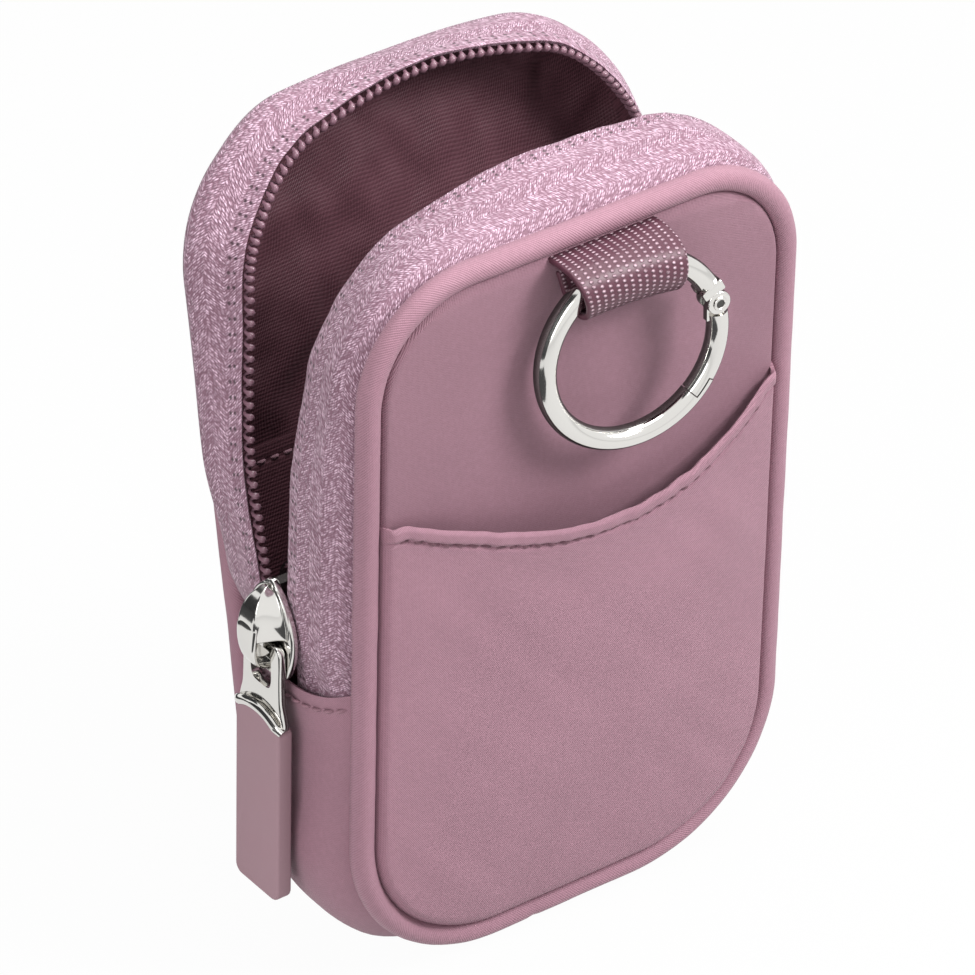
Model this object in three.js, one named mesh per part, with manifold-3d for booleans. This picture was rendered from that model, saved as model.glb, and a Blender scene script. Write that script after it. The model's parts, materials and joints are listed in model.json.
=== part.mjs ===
// Key pouch: a soft two-sided pouch with a zip mouth, a front slip pocket, an inner pocket,
// piping round both faces and a spring-gate ring on a webbing loop.
// Millimetres. X runs across the front, Y from the front to the back, Z up.
// The origin is on the flat underside of the gusset, below the middle of the pouch.

import * as THREE from "three";
import { mergeVertices } from "three/addons/utils/BufferGeometryUtils.js";
import Module from "manifold-3d";

const wasm = await Module();
wasm.setup();

// Pouch body
const POUCH_WIDTH = 76;
const POUCH_HEIGHT = 119;
const POUCH_DEPTH = 34;
const TOP_RADIUS = 18.5;
const BASE_RADIUS = 25.5;
const PANEL_THICKNESS = 1;
const PANEL_RECESS = 0.6;
const LINING_THICKNESS = 0.6;
const GUSSET_THICKNESS = 0.9;
const GUSSET_CROWN = 1.2;
const SEAM_DROP = 0.6;
const LOWER_BACK_LEAN = 9.5;
const MOUTH_ANGLE = 17.5;

// Piping
const PIPING_DIAMETER = 4.2;
const PIPING_COVER_THICKNESS = 0.5;
const PIPING_SEAM_ANGLE = 40;
const PIPING_JOIN_X = -6;
const PIPING_JOIN_GAP = 1;

// Pockets
const FRONT_POCKET_THICKNESS = 0.8;
const FRONT_POCKET_SIDE_HEIGHT = 82.6;
const FRONT_POCKET_SCOOP = 10.5;
const INNER_POCKET_THICKNESS = 0.6;
const INNER_POCKET_HEIGHT = 73;
const INNER_POCKET_SPACE = 1.6;

// Zip
const ZIP_END_HEIGHT = 50;
const TAPE_THICKNESS = 0.8;
const TAPE_CROWN = 2;
const TAPE_SHOULDER = 2.4;
const TAPE_SHOULDER_RISE = 1;
const TAPE_ROUND = 5.4;
const TAPE_ROUND_RISE = 1.1;
const TAPE_TOP_LIFT = 3.8;
const TAPE_CORNER_ANGLE = 55;
const TAPE_CORNER_LIFT_FRONT = -2.2;
const TAPE_CORNER_LIFT_BACK = -3.8;
const TAPE_LEAN_HEIGHT = 84.5;
const COIL_GAP = 2.4;
const COIL_WIDTH = 2;
const COIL_TOOTH = 0.7;
const COIL_THICKNESS = 1.8;
const COIL_PITCH = 1.8;

// Slider and pull
const SLIDER_WIDTH = 11;
const SLIDER_LENGTH = 16;
const SLIDER_PLATE = 1.2;
const SLIDER_CLEARANCE = 0.4;
const SLIDER_NECK_WIDTH = 1.8;
const SLIDER_NECK_LENGTH = 6;
const SLIDER_NECK_SETBACK = 1;
const SLIDER_FOOT_SHARE = 0.84;
const SLIDER_WAIST_SHARE = 0.35;
const SLIDER_SHOULDER_SHARE = 0.6;
const SLIDER_FLANGE = 0.8;
const BRIDGE_WIDTH = 2.2;
const BRIDGE_LENGTH = 13;
const BRIDGE_SETBACK = 1;
const BRIDGE_STRAP = 1;
const BRIDGE_LEG = 1.5;
const BRIDGE_OPENING = 3.4;
const PULL_HEIGHT = 3.5;
const TAB_WIDTH = 7.8;
const TAB_LENGTH = 12.2;
const TAB_THICKNESS = 1.2;
const TAB_BAR = 1.4;
const TAB_WINDOW_WIDTH = 4.4;
const TAB_WINDOW_LENGTH = 7.2;
const TONGUE_WIDTH = 6;
const TONGUE_LENGTH = 5;
const TONGUE_THICKNESS = 0.7;
const GRIP_WIDTH = 10.4;
const GRIP_LENGTH = 30.5;
const GRIP_THICKNESS = 2.6;
const GRIP_CORNER = 1.4;

// Ring, gate and webbing loop
const RING_OUTER_DIAMETER = 31.4;
const RING_SECTION = 3;
const RING_CORNER_SHARE = 0.3;
const RING_X = 4.2;
const LOOP_WIDTH = 16.4;
const LOOP_THICKNESS = 0.8;
const LOOP_STITCH = 0.6;
const LOOP_TOP_DROP = 1.3;
const GATE_PIVOT_ANGLE = 14;
const GATE_NOSE_ANGLE = -42;
const GATE_TONGUE = 1;
const GATE_TONGUE_RADIUS = 1.2;
const GATE_SHOULDER = 2.5;
const GATE_TRIM = 0.1;
const NOSE_OVERLAP_ANGLE = 10;
const PIN_DIAMETER = 1;
const SPRING_WIRE = 0.25;
const SPRING_DIAMETER = 1.1;
const SPRING_LENGTH = 4;
const SPRING_TURNS = 5;

// Room left between neighbouring pieces, and between a pin and its hole.
const CLEARANCE = 0.3;
const PIN_CLEARANCE = 0.15;

// How finely round stretches are divided.
const CORNER_STEPS = 6;
const ROUND_STEPS = 8;
const RING_STEP_ANGLE = 9;
const TAPE_STEP = 6;

// Sizes that follow from the ones above
const halfWidth = POUCH_WIDTH / 2;
const halfDepth = POUCH_DEPTH / 2;
const pipingRadius = PIPING_DIAMETER / 2;
const panelInset = PIPING_DIAMETER + CLEARANCE;
const panelFace = halfDepth - PANEL_RECESS;
const panelInside = panelFace - PANEL_THICKNESS;
const liningInside = panelInside - CLEARANCE - LINING_THICKNESS;
const sideEdge = halfDepth - PIPING_DIAMETER - CLEARANCE;
const tapeEdge = COIL_GAP / 2 + CLEARANCE;
const coilDrop = TAPE_THICKNESS + CLEARANCE;
const radians = THREE.MathUtils.degToRad;
const backSlope = Math.tan(radians(LOWER_BACK_LEAN));

const colours = {
  fabric: { color: 0x8b7480, roughness: 0.7, metalness: 0 },
  lining: { color: 0x6d5660, roughness: 0.8, metalness: 0 },
  tape: { color: 0xa98f9b, roughness: 0.65, metalness: 0 },
  coil: { color: 0x8f7582, roughness: 0.35, metalness: 0 },
  cord: { color: 0xd8d2cc, roughness: 0.9, metalness: 0 },
  webbing: { color: 0x8c7783, roughness: 0.45, metalness: 0 },
  nickel: { color: 0xd2d2d4, roughness: 0.18, metalness: 1 },
  steel: { color: 0xb8babd, roughness: 0.3, metalness: 1 },
  silicone: { color: 0x897a84, roughness: 0.75, metalness: 0 },
};

function piece(name, geometry, look) {
  const mesh = new THREE.Mesh(geometry, new THREE.MeshStandardMaterial(colours[look]));
  mesh.name = name;
  return mesh;
}

// Stations along the pouch's outline: a point, and the normal that points away from the pouch.
// A straight leg has one step and a corner CORNER_STEPS, or more where a shorter step is asked for.
function stationsAlong(legs, longestStep = Infinity) {
  const stations = [];
  for (const leg of legs) {
    const steps = Math.max(leg.fewestSteps, Math.ceil(leg.length / longestStep));
    const first = stations.length === 0 ? 0 : 1;
    for (let step = first; step <= steps; step += 1) {
      stations.push(leg.at(step / steps));
    }
  }
  return stations;
}

function straightLeg(from, to, normalAngle) {
  const nx = Math.cos(radians(normalAngle));
  const nz = Math.sin(radians(normalAngle));
  const at = (t) => ({
    x: THREE.MathUtils.lerp(from[0], to[0], t),
    z: THREE.MathUtils.lerp(from[1], to[1], t),
    nx,
    nz,
  });
  return { at, fewestSteps: 1, length: Math.hypot(to[0] - from[0], to[1] - from[1]) };
}

function arcLeg(centre, radius, fromAngle, toAngle, fewestSteps = CORNER_STEPS) {
  const at = (t) => {
    const angle = radians(THREE.MathUtils.lerp(fromAngle, toAngle, t));
    const nx = Math.cos(angle);
    const nz = Math.sin(angle);
    return { x: centre[0] + radius * nx, z: centre[1] + radius * nz, nx, nz };
  };
  return { at, fewestSteps, length: radius * radians(Math.abs(toAngle - fromAngle)) };
}

// The outline's lowest line sits above the floor by the crown of the gusset below it.
const topCentreX = halfWidth - TOP_RADIUS;
const topCentreZ = POUCH_HEIGHT - TOP_RADIUS;
const baseCentreX = halfWidth - BASE_RADIUS;
const baseCentreZ = GUSSET_CROWN + BASE_RADIUS;

const topLeft = () => arcLeg([-topCentreX, topCentreZ], TOP_RADIUS, 180, 90);
const topRight = () => arcLeg([topCentreX, topCentreZ], TOP_RADIUS, 90, 0);
const baseRight = () => arcLeg([baseCentreX, baseCentreZ], BASE_RADIUS, 0, -90);
const baseLeft = () => arcLeg([-baseCentreX, baseCentreZ], BASE_RADIUS, -90, -180);

// Up the left side from a height, over the top and down the right side.
function archLegs(height) {
  return [
    straightLeg([-halfWidth, height], [-halfWidth, topCentreZ], 180),
    topLeft(),
    straightLeg([-topCentreX, POUCH_HEIGHT], [topCentreX, POUCH_HEIGHT], 90),
    topRight(),
    straightLeg([halfWidth, topCentreZ], [halfWidth, height], 0),
  ];
}

// Down the right side from a height, under the base and up the left side.
function cradleLegs(height) {
  return [
    straightLeg([halfWidth, height], [halfWidth, baseCentreZ], 0),
    baseRight(),
    straightLeg([baseCentreX, GUSSET_CROWN], [-baseCentreX, GUSSET_CROWN], -90),
    baseLeft(),
    straightLeg([-halfWidth, baseCentreZ], [-halfWidth, height], 180),
  ];
}

// All the way round, from one side of the piping's join to the other.
function loopLegs() {
  const joinLeft = PIPING_JOIN_X - PIPING_JOIN_GAP / 2;
  const joinRight = PIPING_JOIN_X + PIPING_JOIN_GAP / 2;
  return [
    straightLeg([joinLeft, GUSSET_CROWN], [-baseCentreX, GUSSET_CROWN], -90),
    baseLeft(),
    straightLeg([-halfWidth, baseCentreZ], [-halfWidth, topCentreZ], 180),
    topLeft(),
    straightLeg([-topCentreX, POUCH_HEIGHT], [topCentreX, POUCH_HEIGHT], 90),
    topRight(),
    straightLeg([halfWidth, topCentreZ], [halfWidth, baseCentreZ], 0),
    baseRight(),
    straightLeg([baseCentreX, GUSSET_CROWN], [joinRight, GUSSET_CROWN], -90),
  ];
}

// Turns every face round if the solid is inside out.
function facingOut(geometry) {
  const position = geometry.getAttribute("position");
  const index = geometry.index.array;
  const corner = (i) => new THREE.Vector3().fromBufferAttribute(position, index[i]);
  let volume = 0;
  for (let i = 0; i < index.length; i += 3) {
    volume += corner(i).dot(corner(i + 1).cross(corner(i + 2)));
  }
  if (volume < 0) {
    geometry.setIndex(Array.from(index).reverse());
  }
  return geometry;
}

// Triangles across a section, wound the same way as its outline.
function sectionFaces(section) {
  const points = section.map(([offset, y]) => new THREE.Vector2(offset, y));
  const turn = Math.sign(THREE.ShapeUtils.area(points));
  return THREE.ShapeUtils.triangulateShape(points, []).map(([a, b, c]) => {
    const faceTurn = Math.sign(THREE.ShapeUtils.area([points[a], points[b], points[c]]));
    return faceTurn === turn ? [a, b, c] : [a, c, b];
  });
}

// A solid swept through stations. A section is a closed outline of
// [offset along the station's normal, y] pairs, with as many points at every station.
function sweep(stations, sectionAt) {
  const positions = [];
  const index = [];
  const sections = stations.map(sectionAt);
  const count = sections[0].length;
  stations.forEach(({ x, z, nx, nz }, i) => {
    for (const [offset, y] of sections[i]) {
      positions.push(x + nx * offset, y, z + nz * offset);
    }
  });
  for (let i = 0; i + 1 < stations.length; i += 1) {
    for (let j = 0; j < count; j += 1) {
      const here = i * count + j;
      const beside = i * count + ((j + 1) % count);
      index.push(here, beside, beside + count);
      index.push(here, beside + count, here + count);
    }
  }
  const last = (stations.length - 1) * count;
  sectionFaces(sections[0]).forEach(([a, b, c]) => index.push(a, c, b));
  const lastSection = sections[stations.length - 1];
  sectionFaces(lastSection).forEach(([a, b, c]) => index.push(last + a, last + b, last + c));
  const geometry = new THREE.BufferGeometry();
  geometry.setAttribute("position", new THREE.Float32BufferAttribute(positions, 3));
  geometry.setIndex(index);
  return facingOut(geometry);
}

// A strip between an outer line of [offset, y] points and the same line set in by a thickness.
function strip(outerLine, thickness) {
  const innerLine = outerLine.map(([offset, y]) => [offset - thickness, y]);
  return [...outerLine, ...innerLine.reverse()];
}

// A flat plate drawn in XZ, with its back at the given y.
function depthPlate(shape, backY, thickness) {
  const geometry = new THREE.ExtrudeGeometry(shape, { depth: thickness, bevelEnabled: false });
  const turned = new THREE.Matrix4().makeBasis(
    new THREE.Vector3(1, 0, 0),
    new THREE.Vector3(0, 0, 1),
    new THREE.Vector3(0, -1, 0),
  );
  return geometry.applyMatrix4(turned).translate(0, backY, 0);
}

// A flat plate drawn in YZ, with its left face at the given x.
function widthPlate(shape, leftX, thickness) {
  const options = { depth: thickness, bevelEnabled: false, curveSegments: 2 * ROUND_STEPS };
  const geometry = new THREE.ExtrudeGeometry(shape, options);
  const turned = new THREE.Matrix4().makeBasis(
    new THREE.Vector3(0, 1, 0),
    new THREE.Vector3(0, 0, 1),
    new THREE.Vector3(1, 0, 0),
  );
  return geometry.applyMatrix4(turned).translate(leftX, 0, 0);
}

function box(low, high) {
  const size = new THREE.Vector3(...high).sub(new THREE.Vector3(...low));
  const centre = new THREE.Vector3(...low).addScaledVector(size, 0.5);
  return new THREE.BoxGeometry(size.x, size.y, size.z).translate(centre.x, centre.y, centre.z);
}

// Cuts and joins
function solid(geometry) {
  const bare = new THREE.BufferGeometry();
  bare.setAttribute("position", geometry.getAttribute("position"));
  bare.setIndex(geometry.index);
  const merged = mergeVertices(bare);
  const mesh = new wasm.Mesh({
    numProp: 3,
    vertProperties: new Float32Array(merged.getAttribute("position").array),
    triVerts: new Uint32Array(merged.index.array),
  });
  return new wasm.Manifold(mesh);
}

function geometryOf(manifold) {
  const mesh = manifold.getMesh();
  const geometry = new THREE.BufferGeometry();
  geometry.setAttribute("position", new THREE.Float32BufferAttribute(mesh.vertProperties, 3));
  geometry.setIndex(Array.from(mesh.triVerts));
  return geometry;
}

function joined(...geometries) {
  const whole = geometries.map(solid).reduce((sum, next) => sum.add(next));
  return geometryOf(whole);
}

function cut(geometry, ...cutters) {
  const left = cutters.map(solid).reduce((sum, next) => sum.subtract(next), solid(geometry));
  return geometryOf(left);
}

function shared(first, second) {
  return geometryOf(solid(first).intersect(solid(second)));
}

// Outlines of the flat pieces, set in from the pouch's outline
const insetPoint = ({ x, z, nx, nz }, inset) => new THREE.Vector2(x - nx * inset, z - nz * inset);

function outlineShape(legs, inset) {
  return new THREE.Shape(stationsAlong(legs).map((station) => insetPoint(station, inset)));
}

function wholeShape(inset) {
  const legs = [...archLegs(ZIP_END_HEIGHT), ...cradleLegs(ZIP_END_HEIGHT).slice(1)];
  const stations = stationsAlong(legs).slice(0, -1);
  return new THREE.Shape(stations.map((station) => insetPoint(station, inset)));
}

// The back below the zip's end leans forward, so its pieces are slid forward in step with depth.
function leanForward(geometry) {
  const shear = new THREE.Matrix4().set(
    1, 0, 0, 0,
    0, 1, backSlope, -backSlope * ZIP_END_HEIGHT,
    0, 0, 1, 0,
    0, 0, 0, 1,
  );
  return geometry.applyMatrix4(shear);
}

const upperStart = ZIP_END_HEIGHT + CLEARANCE / 2;
const lowerEnd = ZIP_END_HEIGHT - CLEARANCE / 2;

// Piping: a strip wrapped round a cord, its edges meeting on the seam side.
function pipingCoverSection(side) {
  const inner = pipingRadius - PIPING_COVER_THICKNESS;
  const gap = radians(PIPING_SEAM_ANGLE);
  const sweepAngle = 2 * Math.PI - gap;
  const centreY = side * (halfDepth - pipingRadius);
  const at = (radius, i) => {
    const angle = Math.PI + gap / 2 + (sweepAngle * i) / ROUND_STEPS;
    return [radius * Math.cos(angle) - pipingRadius, centreY + radius * Math.sin(angle)];
  };
  const steps = Array.from({ length: ROUND_STEPS + 1 }, (_, i) => i);
  const outer = steps.map((i) => at(pipingRadius, i));
  const bore = steps.map((i) => at(inner, i));
  return [...outer, ...bore.reverse()];
}

function pipingCordSection(side) {
  const radius = pipingRadius - PIPING_COVER_THICKNESS - CLEARANCE;
  const centreY = side * (halfDepth - pipingRadius);
  return Array.from({ length: ROUND_STEPS }, (_, i) => {
    const angle = (2 * Math.PI * i) / ROUND_STEPS;
    return [radius * Math.cos(angle) - pipingRadius, centreY + radius * Math.sin(angle)];
  });
}

function frontPiping() {
  const stations = stationsAlong(loopLegs());
  return [
    piece("front_piping_cover", sweep(stations, () => pipingCoverSection(-1)), "fabric"),
    piece("front_piping_cord", sweep(stations, () => pipingCordSection(-1)), "cord"),
  ];
}

function backPipingUpper() {
  const stations = stationsAlong(archLegs(upperStart));
  return [
    piece("back_piping_cover", sweep(stations, () => pipingCoverSection(1)), "fabric"),
    piece("back_piping_cord", sweep(stations, () => pipingCordSection(1)), "cord"),
  ];
}

function backPipingLower() {
  const stations = stationsAlong(cradleLegs(lowerEnd));
  const cover = leanForward(sweep(stations, () => pipingCoverSection(1)));
  const cord = leanForward(sweep(stations, () => pipingCordSection(1)));
  return [piece("back_piping_cover_lower", cover, "fabric"), piece("back_piping_cord_lower", cord, "cord")];
}

// Front and back faces with their linings and pockets
function frontPanel() {
  return piece("front_panel", depthPlate(wholeShape(panelInset), -panelInside, PANEL_THICKNESS), "fabric");
}

function frontLining() {
  return piece("front_lining", depthPlate(wholeShape(panelInset), -liningInside, LINING_THICKNESS), "lining");
}

function frontPocket() {
  const side = halfWidth - panelInset;
  const middle = FRONT_POCKET_SIDE_HEIGHT - 2 * FRONT_POCKET_SCOOP;
  const shape = new THREE.Shape(
    stationsAlong(cradleLegs(FRONT_POCKET_SIDE_HEIGHT)).map((station) => insetPoint(station, panelInset)),
  );
  shape.quadraticCurveTo(0, middle, side, FRONT_POCKET_SIDE_HEIGHT);
  const back = -panelFace - CLEARANCE;
  return piece("front_pocket", depthPlate(shape, back, FRONT_POCKET_THICKNESS), "fabric");
}

function backPieces(suffix, shape, pocketShape, settle) {
  const pocketBack = liningInside - INNER_POCKET_SPACE;
  const panel = depthPlate(shape, panelFace, PANEL_THICKNESS);
  const lining = depthPlate(shape, liningInside + LINING_THICKNESS, LINING_THICKNESS);
  const pocket = depthPlate(pocketShape, pocketBack, INNER_POCKET_THICKNESS);
  return [
    piece(`back_panel${suffix}`, settle(panel), "fabric"),
    piece(`back_lining${suffix}`, settle(lining), "lining"),
    piece(`inner_pocket${suffix}`, settle(pocket), "lining"),
  ];
}

function backUpper() {
  const side = halfWidth - panelInset;
  const pocketShape = new THREE.Shape()
    .moveTo(-side, upperStart)
    .lineTo(side, upperStart)
    .lineTo(side, INNER_POCKET_HEIGHT)
    .lineTo(-side, INNER_POCKET_HEIGHT);
  return backPieces("", outlineShape(archLegs(upperStart), panelInset), pocketShape, (geometry) => geometry);
}

function backLower() {
  const shape = () => outlineShape(cradleLegs(lowerEnd), panelInset);
  return backPieces("_lower", shape(), shape(), leanForward);
}

// Gusset under the zip's ends and its lining. The back edge follows the leaning back.
function gussetBackEdge(station) {
  return sideEdge - (ZIP_END_HEIGHT - station.z) * backSlope;
}

function gusset() {
  const rise = GUSSET_CROWN + SEAM_DROP;
  const section = (station) => {
    const back = gussetBackEdge(station);
    const line = [
      [GUSSET_CROWN - rise, -sideEdge],
      [GUSSET_CROWN, -sideEdge + rise],
      [GUSSET_CROWN, back - rise],
      [GUSSET_CROWN - rise, back],
    ];
    return strip(line, GUSSET_THICKNESS);
  };
  return piece("bottom_gusset", sweep(stationsAlong(cradleLegs(lowerEnd)), section), "fabric");
}

function gussetLining() {
  const offset = -GUSSET_THICKNESS - SEAM_DROP - CLEARANCE;
  const section = (station) => {
    const back = gussetBackEdge(station);
    return strip([[offset, -sideEdge], [offset, back]], LINING_THICKNESS);
  };
  return piece("gusset_lining", sweep(stationsAlong(cradleLegs(lowerEnd)), section), "lining");
}

// Zip tapes and coils. Side is -1 for the front half and 1 for the back half.
// The free edges make a rounder arch than the piping: they stand out over the top and at the
// sides, and are drawn in round the corners.
const cornerRun = topCentreX + TOP_RADIUS * radians(TAPE_CORNER_ANGLE);
const sideRun = topCentreX + (TOP_RADIUS * Math.PI) / 2;

// How far a station is from the middle of the top, along the outline.
function runFromTop({ x, z, nx, nz }) {
  if (z < topCentreZ) {
    return sideRun + topCentreZ - z;
  }
  const turn = Math.atan2(Math.abs(nx), nz);
  return turn > 0 ? topCentreX + TOP_RADIUS * turn : Math.min(Math.abs(x), topCentreX);
}

const eased = (t) => (1 - Math.cos(Math.PI * THREE.MathUtils.clamp(t, 0, 1))) / 2;

function edgeLift(station, side) {
  const corner = side < 0 ? TAPE_CORNER_LIFT_FRONT : TAPE_CORNER_LIFT_BACK;
  const run = runFromTop(station);
  const drawnIn = THREE.MathUtils.lerp(TAPE_TOP_LIFT, corner, eased(run / cornerRun));
  const straight = sideRun + topCentreZ - TAPE_LEAN_HEIGHT;
  const letOut = eased((run - cornerRun) / (straight - cornerRun));
  return THREE.MathUtils.lerp(drawnIn, TAPE_CROWN, letOut);
}

function zipTape(name, side) {
  const width = sideEdge - tapeEdge;
  const section = (station) => {
    const lift = edgeLift(station, side);
    const line = [
      [-SEAM_DROP, side * sideEdge],
      [TAPE_SHOULDER_RISE + (lift * TAPE_SHOULDER) / width, side * (sideEdge - TAPE_SHOULDER)],
      [TAPE_ROUND_RISE + (lift * TAPE_ROUND) / width, side * (sideEdge - TAPE_ROUND)],
      [lift, side * tapeEdge],
    ];
    return strip(line, TAPE_THICKNESS);
  };
  return piece(name, sweep(stationsAlong(archLegs(upperStart), TAPE_STEP), section), "tape");
}

function zipCoil(name, side) {
  const inner = side * (COIL_GAP / 2 + COIL_WIDTH);
  const tip = side * (COIL_GAP / 2);
  const root = side * (COIL_GAP / 2 + COIL_TOOTH);
  const section = (station, i) => {
    const top = edgeLift(station, side) - coilDrop;
    const bottom = top - COIL_THICKNESS;
    const end = i % 2 === 0 ? tip : root;
    return [[top, inner], [top, end], [bottom, end], [bottom, inner]];
  };
  const stations = stationsAlong(archLegs(upperStart), COIL_PITCH / 2);
  return piece(name, sweep(stations, section), "coil");
}

// Webbing loop: folded round the ring, with its ends sewn flat against the panel.
const ringRadius = (RING_OUTER_DIAMETER - RING_SECTION) / 2;
const barTop = ringRadius + RING_SECTION / 2;
const barBottom = Math.sqrt((ringRadius - RING_SECTION / 2) ** 2 - (LOOP_WIDTH / 2) ** 2);
const loopBore = (barTop - barBottom) / 2 + CLEARANCE;
const loopOutside = loopBore + LOOP_THICKNESS;
const loopRoot = -panelFace - CLEARANCE;
const loopY = loopRoot - loopBore - LOOP_STITCH;
const loopHeight = POUCH_HEIGHT - pipingRadius - LOOP_TOP_DROP - loopOutside;

function webbingLoop() {
  const rootAngle = Math.acos((loopRoot - loopY) / loopOutside);
  const shape = new THREE.Shape()
    .moveTo(loopRoot, loopHeight + loopOutside)
    .lineTo(loopY, loopHeight + loopOutside)
    .absarc(loopY, loopHeight, loopOutside, Math.PI / 2, 2 * Math.PI - rootAngle, false);
  const fold = new THREE.Path().absarc(loopY, loopHeight, loopBore, 0, 2 * Math.PI, true);
  shape.holes.push(fold);
  return piece("webbing_loop", widthPlate(shape, RING_X - LOOP_WIDTH / 2, LOOP_WIDTH), "webbing");
}

// Spring-gate ring. It is drawn round its own centre in XZ and hung in the loop by its group.
const pivot = [
  ringRadius * Math.cos(radians(GATE_PIVOT_ANGLE)),
  ringRadius * Math.sin(radians(GATE_PIVOT_ANGLE)),
];
const gateSpan = GATE_PIVOT_ANGLE - GATE_NOSE_ANGLE;
const noseRadius = 2 * ringRadius * Math.sin(radians(gateSpan / 2));
const angleOfLength = (length) => THREE.MathUtils.radToDeg(length / ringRadius);

function ringArc(fromAngle, toAngle, halfAcross, halfThick, corner) {
  const steps = Math.max(2, Math.ceil(Math.abs(toAngle - fromAngle) / RING_STEP_ANGLE));
  const stations = stationsAlong([arcLeg([0, 0], ringRadius, fromAngle, toAngle, steps)]);
  const section = [
    [halfAcross - corner, -halfThick],
    [halfAcross, -halfThick + corner],
    [halfAcross, halfThick - corner],
    [halfAcross - corner, halfThick],
    [corner - halfAcross, halfThick],
    [-halfAcross, halfThick - corner],
    [-halfAcross, corner - halfThick],
    [corner - halfAcross, -halfThick],
  ];
  return sweep(stations, () => section);
}

// A round bar through the pivot, along Y.
function pivotBar(radius, length) {
  const bar = new THREE.CylinderGeometry(radius, radius, length, 2 * ROUND_STEPS);
  return bar.translate(pivot[0], 0, pivot[1]);
}

const ringCorner = RING_CORNER_SHARE * RING_SECTION;
const slotRadius = GATE_TONGUE_RADIUS + 5 * CLEARANCE;
const slotThick = GATE_TONGUE + 2 * CLEARANCE;
const earEnd = angleOfLength(GATE_SHOULDER / 2);

// The spring lies in a bore that runs up from the gate's slot, along the ring.
const springAngle = GATE_PIVOT_ANGLE + angleOfLength(slotRadius + SPRING_LENGTH / 2);
const springCentre = new THREE.Vector3(
  ringRadius * Math.cos(radians(springAngle)),
  0,
  ringRadius * Math.sin(radians(springAngle)),
);

function ringFrame() {
  const half = RING_SECTION / 2;
  const noseEnd = 360 + GATE_NOSE_ANGLE + NOSE_OVERLAP_ANGLE;
  const arc = ringArc(GATE_PIVOT_ANGLE - earEnd, noseEnd, half, half, ringCorner);
  const nosePath = new THREE.CylinderGeometry(
    noseRadius + CLEARANCE / 2,
    noseRadius + CLEARANCE / 2,
    2 * RING_SECTION,
    8 * ROUND_STEPS,
  ).translate(pivot[0], 0, pivot[1]);
  const noseSide = box(
    [0, -RING_SECTION, -RING_OUTER_DIAMETER],
    [RING_OUTER_DIAMETER, RING_SECTION, -RING_SECTION],
  );
  const springBore = new THREE.CylinderGeometry(
    SPRING_DIAMETER / 2 + CLEARANCE,
    SPRING_DIAMETER / 2 + CLEARANCE,
    SPRING_LENGTH + 4 * CLEARANCE,
    ROUND_STEPS,
  )
    .rotateX(Math.PI / 2)
    .rotateY(-radians(springAngle))
    .translate(springCentre.x, 0, springCentre.z);
  return cut(
    arc,
    shared(nosePath, noseSide),
    pivotBar(slotRadius, slotThick),
    pivotBar(PIN_DIAMETER / 2 + PIN_CLEARANCE, 2 * RING_SECTION),
    springBore,
  );
}

function ringGate() {
  const half = RING_SECTION / 2 - GATE_TRIM;
  const shoulder = GATE_PIVOT_ANGLE - angleOfLength(GATE_SHOULDER);
  const arc = ringArc(shoulder, GATE_NOSE_ANGLE - NOSE_OVERLAP_ANGLE, half, half, ringCorner);
  const reach = new THREE.CylinderGeometry(
    noseRadius - CLEARANCE / 2,
    noseRadius - CLEARANCE / 2,
    2 * RING_SECTION,
    8 * ROUND_STEPS,
  ).translate(pivot[0], 0, pivot[1]);
  const body = shared(arc, reach);
  const tongueEnd = shoulder - angleOfLength(GATE_TONGUE);
  const tongueArc = ringArc(GATE_PIVOT_ANGLE, tongueEnd, GATE_TONGUE_RADIUS, GATE_TONGUE / 2, GATE_TRIM);
  const eye = pivotBar(GATE_TONGUE_RADIUS, GATE_TONGUE);
  return cut(joined(body, tongueArc, eye), pivotBar(PIN_DIAMETER / 2 + PIN_CLEARANCE, 2 * RING_SECTION));
}

// Closed helix along +Z, centred on the origin.
class SpringCurve extends THREE.Curve {
  getPoint(t, target = new THREE.Vector3()) {
    const radius = (SPRING_DIAMETER - SPRING_WIRE) / 2;
    const angle = 2 * Math.PI * SPRING_TURNS * t;
    const height = (SPRING_LENGTH - SPRING_WIRE) * (t - 0.5);
    return target.set(radius * Math.cos(angle), radius * Math.sin(angle), height);
  }
}

function gateSpring() {
  const section = new THREE.Shape().absarc(0, 0, SPRING_WIRE / 2, 0, 2 * Math.PI, false);
  const geometry = new THREE.ExtrudeGeometry(section, {
    curveSegments: 5,
    steps: SPRING_TURNS * ROUND_STEPS,
    extrudePath: new SpringCurve(),
    bevelEnabled: false,
  });
  return geometry.rotateY(-radians(springAngle)).translate(springCentre.x, 0, springCentre.z);
}

function springRing() {
  const group = new THREE.Group();
  group.position.set(RING_X, loopY, loopHeight - (barTop + barBottom) / 2);
  group.add(piece("ring_frame", ringFrame(), "nickel"));
  group.add(piece("ring_gate", ringGate(), "nickel"));
  group.add(piece("gate_pin", pivotBar(PIN_DIAMETER / 2, RING_SECTION), "steel"));
  group.add(piece("gate_spring", gateSpring(), "steel"));
  return group;
}

// Slider on the left side, at the zip's lower end, with the pull hanging from its bridge.
const tapeOutside = -halfWidth - TAPE_CROWN;
const coilInside = -halfWidth - TAPE_CROWN + coilDrop + COIL_THICKNESS;
const outerPlateInside = tapeOutside - SLIDER_CLEARANCE;
const outerPlateOutside = outerPlateInside - SLIDER_PLATE;
const innerPlateOutside = coilInside + SLIDER_CLEARANCE;
const sliderBottom = ZIP_END_HEIGHT + SLIDER_CLEARANCE;
const sliderTop = sliderBottom + SLIDER_LENGTH;
const bridgeBottom = sliderBottom + BRIDGE_SETBACK;
const bridgeInside = outerPlateOutside - BRIDGE_OPENING;
const pullX = outerPlateOutside - BRIDGE_OPENING / 2;
const pullZ = bridgeBottom + BRIDGE_LEG + PULL_HEIGHT;

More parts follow.
